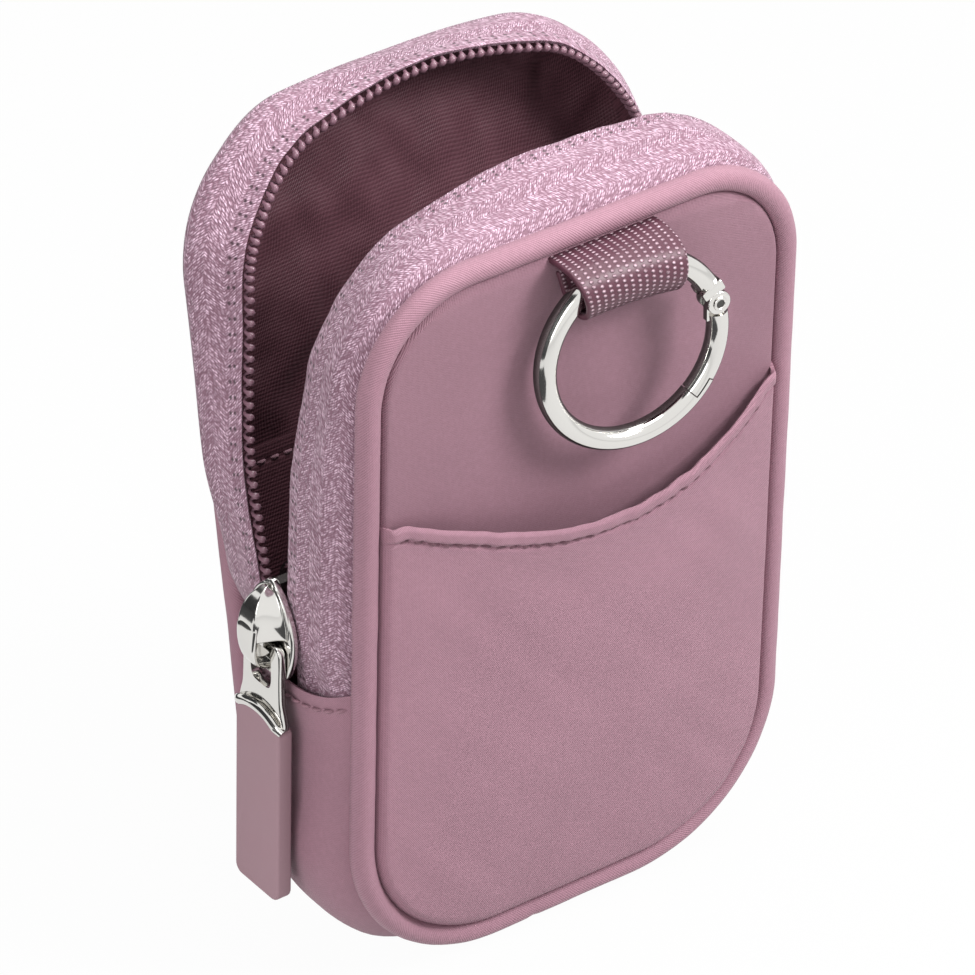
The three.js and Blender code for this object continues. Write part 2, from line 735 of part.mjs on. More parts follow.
// A shield outline, square at the foot and drawn in to the tip.
function sliderShape() {
  const half = SLIDER_WIDTH / 2;
  const foot = SLIDER_FOOT_SHARE * half;
  const waist = sliderBottom + SLIDER_WAIST_SHARE * SLIDER_LENGTH;
  const shoulder = sliderBottom + SLIDER_SHOULDER_SHARE * SLIDER_LENGTH;
  return new THREE.Shape()
    .moveTo(-foot, sliderBottom)
    .lineTo(foot, sliderBottom)
    .lineTo(half, waist)
    .lineTo(half, shoulder)
    .quadraticCurveTo(foot, sliderTop, 0, sliderTop)
    .quadraticCurveTo(-foot, sliderTop, -half, shoulder)
    .lineTo(-half, waist);
}

function sliderBridge() {
  const bridgeTop = bridgeBottom + BRIDGE_LENGTH;
  const foot = outerPlateOutside + SLIDER_PLATE / 2;
  const arch = box(
    [bridgeInside - BRIDGE_STRAP, -BRIDGE_WIDTH / 2, bridgeBottom],
    [foot, BRIDGE_WIDTH / 2, bridgeTop],
  );
  const opening = box(
    [bridgeInside, -BRIDGE_WIDTH, bridgeBottom + BRIDGE_LEG],
    [outerPlateOutside, BRIDGE_WIDTH, bridgeTop - BRIDGE_LEG],
  );
  return cut(arch, opening);
}

function zipSlider() {
  const outerPlate = widthPlate(sliderShape(), outerPlateOutside, SLIDER_PLATE);
  const innerPlate = widthPlate(sliderShape(), innerPlateOutside, SLIDER_PLATE);
  const neckTop = sliderTop - SLIDER_NECK_SETBACK;
  const neck = box(
    [outerPlateInside - SLIDER_PLATE / 2, -SLIDER_NECK_WIDTH / 2, neckTop - SLIDER_NECK_LENGTH],
    [innerPlateOutside + SLIDER_PLATE / 2, SLIDER_NECK_WIDTH / 2, neckTop],
  );
  const flangeFront = (-SLIDER_FOOT_SHARE * SLIDER_WIDTH) / 2;
  const flange = box(
    [tapeOutside + TAPE_THICKNESS + SLIDER_CLEARANCE, flangeFront, sliderBottom],
    [innerPlateOutside + SLIDER_PLATE / 2, flangeFront + SLIDER_FLANGE, sliderBottom + SLIDER_LENGTH / 2],
  );
  return piece("zip_slider", joined(outerPlate, innerPlate, neck, flange, sliderBridge()), "nickel");
}

const tabFoot = pullZ - TAB_LENGTH;

function pullTab() {
  const half = TAB_WIDTH / 2;
  const barEdge = TAB_BAR / 2;
  const plate = new THREE.Shape()
    .moveTo(-half, tabFoot)
    .lineTo(half, tabFoot)
    .lineTo(half, pullZ - barEdge)
    .lineTo(half - barEdge, pullZ + barEdge)
    .lineTo(barEdge - half, pullZ + barEdge)
    .lineTo(-half, pullZ - barEdge);
  const windowHalf = TAB_WINDOW_WIDTH / 2;
  const windowTop = pullZ - barEdge;
  plate.holes.push(
    new THREE.Path()
      .moveTo(-windowHalf, windowTop)
      .lineTo(-windowHalf, windowTop - TAB_WINDOW_LENGTH)
      .lineTo(windowHalf, windowTop - TAB_WINDOW_LENGTH)
      .lineTo(windowHalf, windowTop),
  );
  const eye = widthPlate(plate, pullX - TAB_THICKNESS / 2, TAB_THICKNESS);
  const tongue = box(
    [pullX - TONGUE_THICKNESS / 2, -TONGUE_WIDTH / 2, tabFoot - TONGUE_LENGTH],
    [pullX + TONGUE_THICKNESS / 2, TONGUE_WIDTH / 2, tabFoot + TONGUE_THICKNESS],
  );
  return piece("pull_tab", joined(eye, tongue), "nickel");
}

function pullGrip() {
  const half = GRIP_WIDTH / 2;
  const top = tabFoot - CLEARANCE;
  const foot = top - GRIP_LENGTH;
  const shape = new THREE.Shape()
    .moveTo(-half, foot + GRIP_CORNER)
    .quadraticCurveTo(-half, foot, GRIP_CORNER - half, foot)
    .lineTo(half - GRIP_CORNER, foot)
    .quadraticCurveTo(half, foot, half, foot + GRIP_CORNER)
    .lineTo(half, top)
    .lineTo(-half, top);
  const body = widthPlate(shape, pullX - GRIP_THICKNESS / 2, GRIP_THICKNESS);
  const socket = box(
    [
      pullX - TONGUE_THICKNESS / 2 - CLEARANCE,
      -TONGUE_WIDTH / 2 - CLEARANCE,
      tabFoot - TONGUE_LENGTH - CLEARANCE,
    ],
    [pullX + TONGUE_THICKNESS / 2 + CLEARANCE, TONGUE_WIDTH / 2 + CLEARANCE, tabFoot],
  );
  return piece("pull_grip", cut(body, socket), "silicone");
}

// The back half is drawn shut and leans open about the line where its skin meets the lower back.
function backHalf() {
  const shut = new THREE.Group();
  shut.position.set(0, -halfDepth, -ZIP_END_HEIGHT);
  shut.add(...backUpper(), ...backPipingUpper());
  shut.add(zipTape("zip_tape_back", 1), zipCoil("zip_coil_back", 1));
  const hinged = new THREE.Group();
  hinged.position.set(0, halfDepth, ZIP_END_HEIGHT);
  hinged.rotation.x = -radians(MOUTH_ANGLE);
  hinged.add(shut);
  return hinged;
}

const keyPouch = new THREE.Group();
keyPouch.add(frontPanel(), frontPocket(), frontLining(), ...frontPiping());
keyPouch.add(zipTape("zip_tape_front", -1), zipCoil("zip_coil_front", -1));
keyPouch.add(gusset(), gussetLining(), ...backLower(), ...backPipingLower());
keyPouch.add(backHalf());
keyPouch.add(zipSlider(), pullTab(), pullGrip());
keyPouch.add(webbingLoop(), springRing());

export default keyPouch;
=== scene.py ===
# %% [markdown]
# # Dressing a key pouch
# The solids of the pouch are packed already, and they stay as they are. This lesson puts cloth, zip and
# metal round them. The pouch is sewn from soft mauve nylon: two faces with piped edges, a zip that runs
# over the top, a gusset round the base and a spring ring on a webbing loop. All sizes here are in
# millimetres and turned into metres in one place, so that they read like the label of a pattern piece.

# %% Load the frame
import json
import math

import bpy
import numpy as np
from mathutils import Matrix, Vector, noise


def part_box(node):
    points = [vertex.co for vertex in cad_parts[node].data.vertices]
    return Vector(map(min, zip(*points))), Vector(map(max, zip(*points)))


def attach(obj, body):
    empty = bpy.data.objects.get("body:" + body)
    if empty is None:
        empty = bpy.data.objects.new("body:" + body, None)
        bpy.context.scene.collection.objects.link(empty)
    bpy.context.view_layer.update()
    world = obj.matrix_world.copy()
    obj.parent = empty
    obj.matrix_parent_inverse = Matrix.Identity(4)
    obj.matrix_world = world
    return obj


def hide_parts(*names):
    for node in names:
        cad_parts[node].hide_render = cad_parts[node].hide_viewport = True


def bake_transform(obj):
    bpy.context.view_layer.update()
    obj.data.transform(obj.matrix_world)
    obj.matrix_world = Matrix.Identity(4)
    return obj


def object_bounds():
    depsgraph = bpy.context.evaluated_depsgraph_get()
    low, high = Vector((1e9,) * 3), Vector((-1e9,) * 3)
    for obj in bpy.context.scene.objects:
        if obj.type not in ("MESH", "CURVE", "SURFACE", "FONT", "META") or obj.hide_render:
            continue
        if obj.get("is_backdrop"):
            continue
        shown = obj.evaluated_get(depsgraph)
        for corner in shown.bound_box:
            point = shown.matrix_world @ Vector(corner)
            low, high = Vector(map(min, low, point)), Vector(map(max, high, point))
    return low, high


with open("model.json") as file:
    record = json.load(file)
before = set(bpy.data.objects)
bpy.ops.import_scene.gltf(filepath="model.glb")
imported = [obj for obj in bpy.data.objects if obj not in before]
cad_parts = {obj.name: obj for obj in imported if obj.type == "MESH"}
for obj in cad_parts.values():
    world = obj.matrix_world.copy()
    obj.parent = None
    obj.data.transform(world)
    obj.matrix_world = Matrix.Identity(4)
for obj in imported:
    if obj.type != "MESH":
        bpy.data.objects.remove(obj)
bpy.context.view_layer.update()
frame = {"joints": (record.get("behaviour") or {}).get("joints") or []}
MM = 0.001

# %% [markdown]
# ## The camera
# The photograph looks down on the left front corner through a long lens. The camera is made first, because
# every later look depends on it. Its direction was fitted to the outline of the piping, so it is written
# down as two angles, a small roll and a distance, and its axes are set directly.

# %% Set up the camera
CAMERA_AZIMUTH = math.radians(-37.62)
CAMERA_ELEVATION = math.radians(34.56)
CAMERA_ROLL = math.radians(1.4)
CAMERA_DISTANCE = 1108.8
CAMERA_TARGET = Vector((-16.3, -16.4, 81.13))
CAMERA_LENS = 8000 / 975 * 36

camera_back = Vector((
    math.sin(CAMERA_AZIMUTH) * math.cos(CAMERA_ELEVATION),
    -math.cos(CAMERA_AZIMUTH) * math.cos(CAMERA_ELEVATION),
    math.sin(CAMERA_ELEVATION),
))
camera_side = Vector((0, 0, 1)).cross(camera_back).normalized()
camera_rise = camera_back.cross(camera_side)
rolled_side = math.cos(CAMERA_ROLL) * camera_side + math.sin(CAMERA_ROLL) * camera_rise
rolled_rise = camera_back.cross(rolled_side)
camera = bpy.data.objects.new("camera", bpy.data.cameras.new("camera"))
bpy.context.scene.collection.objects.link(camera)
camera.matrix_world = (
    Matrix.Translation((CAMERA_TARGET + camera_back * CAMERA_DISTANCE) * MM)
    @ Matrix((rolled_side, rolled_rise, camera_back)).transposed().to_4x4()
)
camera.data.lens = CAMERA_LENS
camera.data.sensor_width = 36
camera.data.clip_start = 0.01
camera.data.clip_end = 20
bpy.context.scene.camera = camera
print("camera at", tuple(round(c, 3) for c in camera.matrix_world.translation))

# %% [markdown]
# ## The outline of the pouch
# Both faces share one outline, a tall rounded shape with tighter corners at the top than at the base. Its
# width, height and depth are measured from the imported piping. A station is a point of the outline with the
# direction that points out of the pouch there, and everything that runs round the edge is swept along them.

# %% Measure the outline
TOP_RADIUS = 18.5
BASE_RADIUS = 25.5
piping_low, piping_high = (np.array(corner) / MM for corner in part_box("front_piping_cover"))
HALF_WIDTH = float(piping_high[0])
TOP = float(piping_high[2])
BASE = float(piping_low[2])
FACE = -float(piping_low[1])
ZIP_FOOT = 50.0
TOP_CENTRE = (HALF_WIDTH - TOP_RADIUS, TOP - TOP_RADIUS)
BASE_CENTRE = (HALF_WIDTH - BASE_RADIUS, BASE + BASE_RADIUS)
print("outline", 2 * HALF_WIDTH, "wide,", BASE, "to", TOP, "high, face at", FACE)


def arc(centre, radius, start, end, step=1.2):
    """Stations on a corner of the outline, from one angle to another in degrees."""
    count = max(2, math.ceil(abs(math.radians(end - start)) * radius / step))
    angles = np.radians(np.linspace(start, end, count + 1))
    out = np.stack([np.cos(angles), np.sin(angles)], axis=1)
    return np.hstack([np.array(centre) + radius * out, out])


def straight(start, end, out, step=1.2):
    """Stations on a straight stretch of the outline."""
    count = max(1, math.ceil(math.dist(start, end) / step))
    share = np.linspace(0, 1, count + 1)[:, None]
    points = np.array(start) + share * (np.array(end) - np.array(start))
    return np.hstack([points, np.tile(out, (count + 1, 1))])


def joined(*legs):
    """Stretches put end to end, without the doubled points."""
    return np.vstack([legs[0]] + [leg[1:] for leg in legs[1:]])


def arch(foot):
    """From a foot on the left side, over the top and down to the same height on the right."""
    return joined(
        straight((-HALF_WIDTH, foot), (-HALF_WIDTH, TOP_CENTRE[1]), (-1, 0)),
        arc((-TOP_CENTRE[0], TOP_CENTRE[1]), TOP_RADIUS, 180, 90),
        straight((-TOP_CENTRE[0], TOP), (TOP_CENTRE[0], TOP), (0, 1)),
        arc(TOP_CENTRE, TOP_RADIUS, 90, 0),
        straight((HALF_WIDTH, TOP_CENTRE[1]), (HALF_WIDTH, foot), (1, 0)),
    )


def cradle(head):
    """From a head on the left side, under the base and up to the same height on the right."""
    return joined(
        straight((-HALF_WIDTH, head), (-HALF_WIDTH, BASE_CENTRE[1]), (-1, 0)),
        arc((-BASE_CENTRE[0], BASE_CENTRE[1]), BASE_RADIUS, 180, 270),
        straight((-BASE_CENTRE[0], BASE), (BASE_CENTRE[0], BASE), (0, -1)),
        arc(BASE_CENTRE, BASE_RADIUS, 270, 360),
        straight((HALF_WIDTH, BASE_CENTRE[1]), (HALF_WIDTH, head), (1, 0)),
    )


def whole_loop(join):
    """All the way round, starting and ending on the base line at the join of the piping."""
    return joined(
        straight((join, BASE), (-BASE_CENTRE[0], BASE), (0, -1)),
        arc((-BASE_CENTRE[0], BASE_CENTRE[1]), BASE_RADIUS, 270, 180),
        arch(BASE_CENTRE[1]),
        arc(BASE_CENTRE, BASE_RADIUS, 360, 270),
        straight((BASE_CENTRE[0], BASE), (join, BASE), (0, -1)),
    )


def swept(stations, lift, depth):
    """A grid of points: each station moved out by every lift, at every depth along Y."""
    lift = np.broadcast_to(np.asarray(lift, float), (len(stations), np.shape(lift)[-1]))
    depth = np.broadcast_to(np.asarray(depth, float), lift.shape)
    return np.stack([
        stations[:, None, 0] + stations[:, None, 2] * lift,
        depth,
        stations[:, None, 1] + stations[:, None, 3] * lift,
    ], axis=2)


# %% [markdown]
# ## The lean of the back
# The zip is open in the photograph, and the back half leans away from the front about a line low on the
# back. Below that line the back leans a little too. The pieces of the back are drawn upright, as on the
# closed pouch, rounded at the top, and then leaned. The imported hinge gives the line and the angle.

# %% Find the hinge of the back
hinge = next(joint for joint in frame["joints"] if joint["name"] == "back_close")
OPEN_ANGLE = math.radians(hinge["range_deg"][1])
HINGE_Y = FACE
HINGE_Z = ZIP_FOOT
LOW_LEAN = math.radians(9.5)
BEND_REACH = 12.0
PIPING_TUCK = 2.2
BACK_SHIFT = 1.9
BACK_RISE = 3.0


def eased(value):
    """A smooth step from 0 to 1."""
    value = np.clip(value, 0, 1)
    return value * value * (3 - 2 * value)


def rounded_back(points):
    """Upright points of the back, eased into the rounder arch of its soft top, with its piping drawn in."""
    side = points[..., 0]
    height = points[..., 2]
    top = eased((height - 88) / 28) * np.clip(1 - (side / 31) ** 2, 0, 1)
    leftward = 0.65 - 0.35 * np.tanh(side / 10)
    drawn_in = PIPING_TUCK * leftward * eased((points[..., 1] - 9.5) / 4) * eased((height - 42) / 50)
    moved = points.copy()
    moved[..., 0] += BACK_SHIFT * eased((height - 50) / 60) - drawn_in * side / HALF_WIDTH
    moved[..., 2] += BACK_RISE * top - drawn_in * np.clip((height - 70) / (TOP - 70), 0, 1)
    return moved


def leaned(points):
    """Points of the upright back half, leaned open about the hinge."""
    points = rounded_back(points)
    y = points[..., 1] - HINGE_Y
    z = points[..., 2] - HINGE_Z
    turned = points.copy()
    turned[..., 1] = HINGE_Y + y * math.cos(OPEN_ANGLE) + z * math.sin(OPEN_ANGLE)
    turned[..., 2] = HINGE_Z - y * math.sin(OPEN_ANGLE) + z * math.cos(OPEN_ANGLE)
    return turned


def bent(points):
    """Points of a piece of the back that runs past the hinge: leaned above, sloped below, eased between."""
    sloped = points.copy()
    sloped[..., 1] += (points[..., 2] - HINGE_Z) * math.tan(LOW_LEAN)
    share = eased((points[..., 2] - HINGE_Z + BEND_REACH) / (2 * BEND_REACH))[..., None]
    return sloped * (1 - share) + leaned(points) * share


def bend_ends():
    """The two points between which a piece of the back turns from one body to the other."""
    low = np.array([[0, HINGE_Y, HINGE_Z - BEND_REACH]])
    high = np.array([[0, HINGE_Y, HINGE_Z + BEND_REACH]])
    return tuple(bent(low)[0] * MM), tuple(bent(high)[0] * MM)


print("back leans", round(math.degrees(OPEN_ANGLE), 2), "degrees about", (HINGE_Y, HINGE_Z))

# %% [markdown]
# ## Turning a grid into cloth
# A sewn panel is a sheet, so most of the soft pieces start as a grid of points that is joined into faces.
# Each grid gets a map in millimetres along its own threads, so a weave keeps its scale on every piece. The
# sheet then gets its thickness from Solidify. A grid is the simplest start, because its rows can follow a
# seam, which a sculpted sphere or cube could not do.

# %% Helpers for cloth
PIECES = []


def select_only(piece):
    """Make one object the only selected and active one."""
    bpy.ops.object.select_all(action="DESELECT")
    piece.select_set(True)
    bpy.context.view_layer.objects.active = piece


def modified(piece, kind, **settings):
    """Add a modifier, set it and apply it."""
    select_only(piece)
    bpy.ops.object.modifier_add(type=kind)
    modifier = piece.modifiers[-1]
    for key, value in settings.items():
        setattr(modifier, key, value)
    bpy.ops.object.modifier_apply(modifier=modifier.name)
    return piece


def cloth(name, grid, thread=None, tube=False, closed=False):
    """A mesh from a grid of points in millimetres, with a map of thread lengths in millimetres."""
    rows, columns = grid.shape[:2]
    if thread is None:
        across = np.linalg.norm(np.diff(grid, axis=1), axis=2).mean(axis=0)
        along = np.linalg.norm(np.diff(grid, axis=0), axis=2).mean(axis=1)
        across = np.concatenate([[0], np.cumsum(across)])
        along = np.concatenate([[0], np.cumsum(along)])
        across = np.append(across, across[-1] + across[1])
        along = np.append(along, along[-1] + along[1])
        thread = np.stack(np.meshgrid(across, along), axis=2)
    faces = []
    corners = []
    for row in range(rows if closed else rows - 1):
        for column in range(columns if tube else columns - 1):
            ring = [(row, column), (row, column + 1), (row + 1, column + 1), (row + 1, column)]
            faces.append([(r % rows) * columns + c % columns for r, c in ring])
            corners.extend(ring)
    mesh = bpy.data.meshes.new(name)
    mesh.from_pydata((grid.reshape(-1, 3) * MM).tolist(), [], faces)
    threads = mesh.uv_layers.new(name="thread")
    flat = np.array([thread[r, c] for r, c in corners], dtype=np.float32)
    threads.data.foreach_set("uv", flat.ravel())
    piece = bpy.data.objects.new(name, mesh)
    bpy.context.scene.collection.objects.link(piece)
    return piece


def faced_from(piece, inside):
    """Turn the faces so that they look away from a point inside the pouch."""
    centre = np.array(inside) * MM
    score = sum(
        face.area * float(np.dot(face.normal, np.array(face.center) - centre))
        for face in piece.data.polygons
    )
    if score < 0:
        piece.data.flip_normals()
    return piece


def cleaned(piece, distance=0.005):
    """Merge doubled points and point the faces of a closed shape outwards."""
    select_only(piece)
    bpy.ops.object.mode_set(mode="EDIT")
    bpy.ops.mesh.select_all(action="SELECT")
    bpy.ops.mesh.remove_doubles(threshold=distance * MM)
    bpy.ops.mesh.normals_make_consistent(inside=False)
    bpy.ops.object.mode_set(mode="OBJECT")
    return piece


def smoothed(piece, angle=40):
    """Smooth shading, with edges sharper than the angle kept crisp."""
    select_only(piece)
    bpy.ops.object.shade_smooth_by_angle(angle=math.radians(angle))
    return piece


def dressed(piece, material, body=None, stands_for=()):
    """Give a finished piece its material and its body."""
    piece.data.materials.clear()
    piece.data.materials.append(material)
    if stands_for:
        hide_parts(*stands_for)
    if body:
        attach(piece, body)
    else:
        start, end = bend_ends()
        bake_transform(piece)
    PIECES.append(piece)
    print(piece.name, len(piece.data.vertices), "points, on", body or "pouch and back_half")
    return piece


def declared_sheet(piece, grid, flat):
    """Print the area of the grid of a flat cut of cloth that is sewn in all round but for its mouth, and its
    share of the cut.
    """
    along, across = np.diff(grid, axis=0)[:, :-1], np.diff(grid, axis=1)[:-1]
    area = np.linalg.norm(np.cross(along, across), axis=2).sum()
    share = area / (flat[0] * flat[1])
    print(piece.name, "cut", flat, "mm, area", round(float(area)), "square mm, share", round(float(share), 3))


def crumple(points, size, seed):
    """Soft noise between about -1 and 1 at each point, with folds of the given size in millimetres."""
    flat = points.reshape(-1, 3) / np.asarray(size, float)
    values = [noise.noise(Vector(p) + Vector((seed, seed * 0.7, 0))) for p in flat]
    return np.array(values).reshape(points.shape[:-1])


# %% [markdown]
# ## Weaves as node groups
# Cloth looks like cloth because threads pass over and under each other. The nylon, the lining and the
# piping share a fine twill, so it is one node group with a pitch and a slant, and each material sets its
# own. A second group gives every finish slow changes of colour, so that no surface is one flat colour.

# %% A few words for building nodes


def node_math(tree, operation, first, second=None, third=None):
    """A Math node with numbers or links in its sockets."""
    node = tree.nodes.new("ShaderNodeMath")
    node.operation = operation
    for socket, value in zip(node.inputs, (first, second, third)):
        if value is None:
            continue
        if isinstance(value, (int, float)):
            socket.default_value = value
        else:
            tree.links.new(value, socket)
    return node.outputs[0]


def node_mix(tree, share, first, second, blend="MIX"):
    """A colour mix; the share is a number or a link."""
    node = tree.nodes.new("ShaderNodeMix")
    node.data_type = "RGBA"
    node.blend_type = blend
    for socket, value in ((node.inputs[0], share), (node.inputs[6], first), (node.inputs[7], second)):
        if isinstance(value, (int, float)):
            socket.default_value = value
        elif isinstance(value, tuple):
            socket.default_value = (*value, 1)
        else:
            tree.links.new(value, socket)
    return node.outputs[2]


def new_group(name, inputs, outputs):
    """An empty node group with float sockets, and a vector socket where the default is None."""
    tree = bpy.data.node_groups.new(name, "ShaderNodeTree")
    for label, default in inputs:
        kind = "NodeSocketVector" if default is None else "NodeSocketFloat"
        socket = tree.interface.new_socket(label, in_out="INPUT", socket_type=kind)
        if default is not None:
            socket.default_value = default
    for label in outputs:
        tree.interface.new_socket(label, in_out="OUTPUT", socket_type="NodeSocketFloat")
    return tree, tree.nodes.new("NodeGroupInput"), tree.nodes.new("NodeGroupOutput")


def place_group(tree, group, **values):
    """Put a group into a material and set its inputs."""
    node = tree.nodes.new("ShaderNodeGroup")
    node.node_tree = group
    for label, value in values.items():
        socket = node.inputs[label]
        if isinstance(value, (int, float)):
            socket.default_value = value
        else:
            tree.links.new(value, socket)
    return node


# %% Build the twill and the slow colour change
twill, twill_in, twill_out = new_group(
    "twill", [("Thread", None), ("Pitch", 0.5), ("Slant", 1.0), ("Cross", 0.4)], ["Height", "Gap"]
)
split = twill.nodes.new("ShaderNodeSeparateXYZ")
twill.links.new(twill_in.outputs["Thread"], split.inputs[0])
slanted = node_math(twill, "MULTIPLY", split.outputs[0], twill_in.outputs["Slant"])
slanted = node_math(twill, "ADD", slanted, split.outputs[1])
turns = node_math(twill, "DIVIDE", slanted, twill_in.outputs["Pitch"])
ridge = node_math(twill, "SINE", node_math(twill, "MULTIPLY", turns, 2 * math.pi))
cross_turns = node_math(twill, "DIVIDE", split.outputs[0], twill_in.outputs["Pitch"])
cross_ridge = node_math(twill, "SINE", node_math(twill, "MULTIPLY", cross_turns, 4 * math.pi))
cross_ridge = node_math(twill, "MULTIPLY", cross_ridge, twill_in.outputs["Cross"])
height = node_math(twill, "ADD", ridge, cross_ridge)
height = node_math(twill, "MULTIPLY_ADD", height, 0.35, 0.5)
twill.links.new(height, twill_out.inputs["Height"])
gap = node_math(twill, "SUBTRACT", 0.45, height)
gap = node_math(twill, "MAXIMUM", gap, 0.0)
twill.links.new(gap, twill_out.inputs["Gap"])

drift, drift_in, drift_out = new_group(
    "colour_drift", [("Place", None), ("Size", 60.0), ("Fine", 900.0)], ["Slow", "Speck"]
)
slow = drift.nodes.new("ShaderNodeTexNoise")
slow.inputs["Detail"].default_value = 3
drift.links.new(drift_in.outputs["Place"], slow.inputs["Vector"])
drift.links.new(drift_in.outputs["Size"], slow.inputs["Scale"])
drift.links.new(slow.outputs[0], drift_out.inputs["Slow"])
speck = drift.nodes.new("ShaderNodeTexNoise")
speck.inputs["Detail"].default_value = 1
drift.links.new(drift_in.outputs["Place"], speck.inputs["Vector"])
drift.links.new(drift_in.outputs["Fine"], speck.inputs["Scale"])
drift.links.new(speck.outputs[0], drift_out.inputs["Speck"])
print("node groups:", [group.name for group in bpy.data.node_groups])

# %% [markdown]
# ## The cloth finishes
# The shell is a dusty mauve nylon with a soft sheen. The piping is the same cloth cut on the bias, so its
# slant differs. The front panel is the shell turned across the grain and darkened as painted shade. The
# lining is a darker plum. The thread is close to the shell in colour; on the hem of the pocket it is painted
# darker, as painted shade of the stitched groove. One function makes them all from a colour, a pitch and a
# slant.

# %% Make the nylon, lining and thread


def start_material(name):
    """A material with its node tree and Principled shader."""
    material = bpy.data.materials.new(name)
    material.use_nodes = True
    return material, material.node_tree, material.node_tree.nodes["Principled BSDF"]


def add_relief(tree, shader, height, strength, distance):
    """Let a height tilt the surface a little, as threads and grain do."""
    relief = tree.nodes.new("ShaderNodeBump")
    relief.inputs["Strength"].default_value = strength
    relief.inputs["Distance"].default_value = distance
    tree.links.new(height, relief.inputs["Height"])
    tree.links.new(relief.outputs[0], shader.inputs["Normal"])


def thread_map(tree):
    """The texture coordinates of a material, and its thread map split into across and along."""
    place = tree.nodes.new("ShaderNodeTexCoord")
    split = tree.nodes.new("ShaderNodeSeparateXYZ")
    tree.links.new(place.outputs["UV"], split.inputs[0])
    return place, split


def woven(name, colour, pitch, slant, cross, rough, bump, sheen, drift_share=0.10):
    """Woven cloth: twill ridges, painted shade in the gaps between them and a slow change of colour. Glossy
    rays see it painted near black, a painted dark reflection in polished metal.
    """
    material, tree, shader = start_material(name)
    place = tree.nodes.new("ShaderNodeTexCoord")
    weave = place_group(tree, twill, Thread=place.outputs["UV"], Pitch=pitch, Slant=slant, Cross=cross)
    change = place_group(tree, drift, Place=place.outputs["Object"], Size=55.0, Fine=1500.0)
    light = tuple(min(1.0, c * (1 + drift_share)) for c in colour)
    dark = tuple(c * (1 - drift_share) for c in colour)
    base = node_mix(tree, change.outputs["Slow"], dark, light)
    # Painted shade: the gaps between the twill ridges are darkened towards a third of the colour.
    gap_shade_share = node_math(tree, "MULTIPLY", weave.outputs["Gap"], 1.25)
    base = node_mix(tree, gap_shade_share, base, tuple(c * 0.3 for c in colour))
    speck_share = node_math(tree, "MULTIPLY_ADD", change.outputs["Speck"], 0.5, -0.2)
    speck_share = node_math(tree, "MAXIMUM", speck_share, 0.0)
    base = node_mix(tree, speck_share, base, tuple(min(1.0, c * 1.35) for c in colour))
    # Painted reflection: glossy rays see the cloth near black, so polished metal shows it as a dark
    # reflection.
    ray = tree.nodes.new("ShaderNodeLightPath")
    painted_dark_reflection = node_math(tree, "MULTIPLY", ray.outputs["Is Glossy Ray"], 0.85)
    base = node_mix(tree, painted_dark_reflection, base, (0.02, 0.015, 0.017))
    tree.links.new(base, shader.inputs["Base Color"])
    roughness = node_math(tree, "MULTIPLY_ADD", weave.outputs["Gap"], 0.4, rough)
    tree.links.new(roughness, shader.inputs["Roughness"])
    height_mix = node_math(tree, "MULTIPLY_ADD", change.outputs["Speck"], 0.3, weave.outputs["Height"])
    add_relief(tree, shader, height_mix, bump, 0.00012)
    shader.inputs["Sheen Weight"].default_value = sheen
    shader.inputs["Sheen Roughness"].default_value = 0.4
    shader.inputs["Sheen Tint"].default_value = (0.95, 0.82, 0.88, 1)
    shader.inputs["Specular IOR Level"].default_value = 0.2
    return material


NYLON = (0.385, 0.208, 0.262)
nylon = woven("mauve_nylon", NYLON, 0.4, 1.5, 0.4, 0.42, 0.7, 0.12)
# The front panel is the nylon turned across the grain, and its colour is darkened by 0.84 as painted shade
# for the recessed panel.
shaded_panel_nylon = woven("mauve_nylon_across_shaded", tuple(c * 0.84 for c in NYLON), 0.4, -1.5, 0.4, 0.42, 0.7, 0.12)
bias_nylon = woven("bias_nylon", NYLON, 0.45, -0.9, 0.3, 0.42, 0.6, 0.12)
lining_cloth = woven("plum_lining", (0.118, 0.046, 0.061), 0.55, 0.0, 0.9, 0.45, 0.6, 0.05, 0.2)
thread_finish = woven("sewing_thread", (0.36, 0.2, 0.245), 0.35, 1.4, 0.1, 0.5, 0.6, 0.1)
# Painted shade: the hem thread is darkened to carry the shade of the stitched groove along the pocket hem.
shaded_hem_thread = woven("shaded_hem_thread", (0.2, 0.1, 0.126), 0.35, 1.4, 0.1, 0.5, 0.6, 0.1)
print("woven finishes made")

# %% [markdown]
# ## The zip tape
# Zip tape is a coarser, lighter cloth than the shell. Its short floats of thread glint one by one, and
# these glints are painted into the colour as painted highlights; their ribs lean to and fro in narrow columns
# along the zip, and pairs of needle holes, painted dark as painted shade, run beside the coil. Voronoi cells
# make the floats, because each cell has its own brightness, and a zigzag of the thread map leans them.

# %% Make the tape finish
TAPE_COLUMN = 2.6
RIB_PITCH = 0.4
HOLE_ROWS = (1.2, 2.0)
HOLE_PITCH = 2.2

tape_finish, tree, shader = start_material("zip_tape_cloth")
place, split = thread_map(tree)
zigzag = node_math(tree, "PINGPONG", split.outputs[0], TAPE_COLUMN)
slanted = node_math(tree, "MULTIPLY_ADD", zigzag, 0.8, split.outputs[1])
rib = node_math(tree, "SINE", node_math(tree, "MULTIPLY", slanted, 2 * math.pi / RIB_PITCH))
rib = node_math(tree, "MULTIPLY_ADD", rib, 0.3, 0.7)
grain_place = tree.nodes.new("ShaderNodeCombineXYZ")
tree.links.new(node_math(tree, "DIVIDE", split.outputs[0], 0.48), grain_place.inputs[0])
tree.links.new(node_math(tree, "DIVIDE", slanted, 0.4), grain_place.inputs[1])
grain = tree.nodes.new("ShaderNodeTexVoronoi")
grain.inputs["Scale"].default_value = 1.0
grain.inputs["Randomness"].default_value = 0.7
tree.links.new(grain_place.outputs[0], grain.inputs["Vector"])
floats = node_math(tree, "MULTIPLY_ADD", grain.outputs["Distance"], -1.7, 1.2)
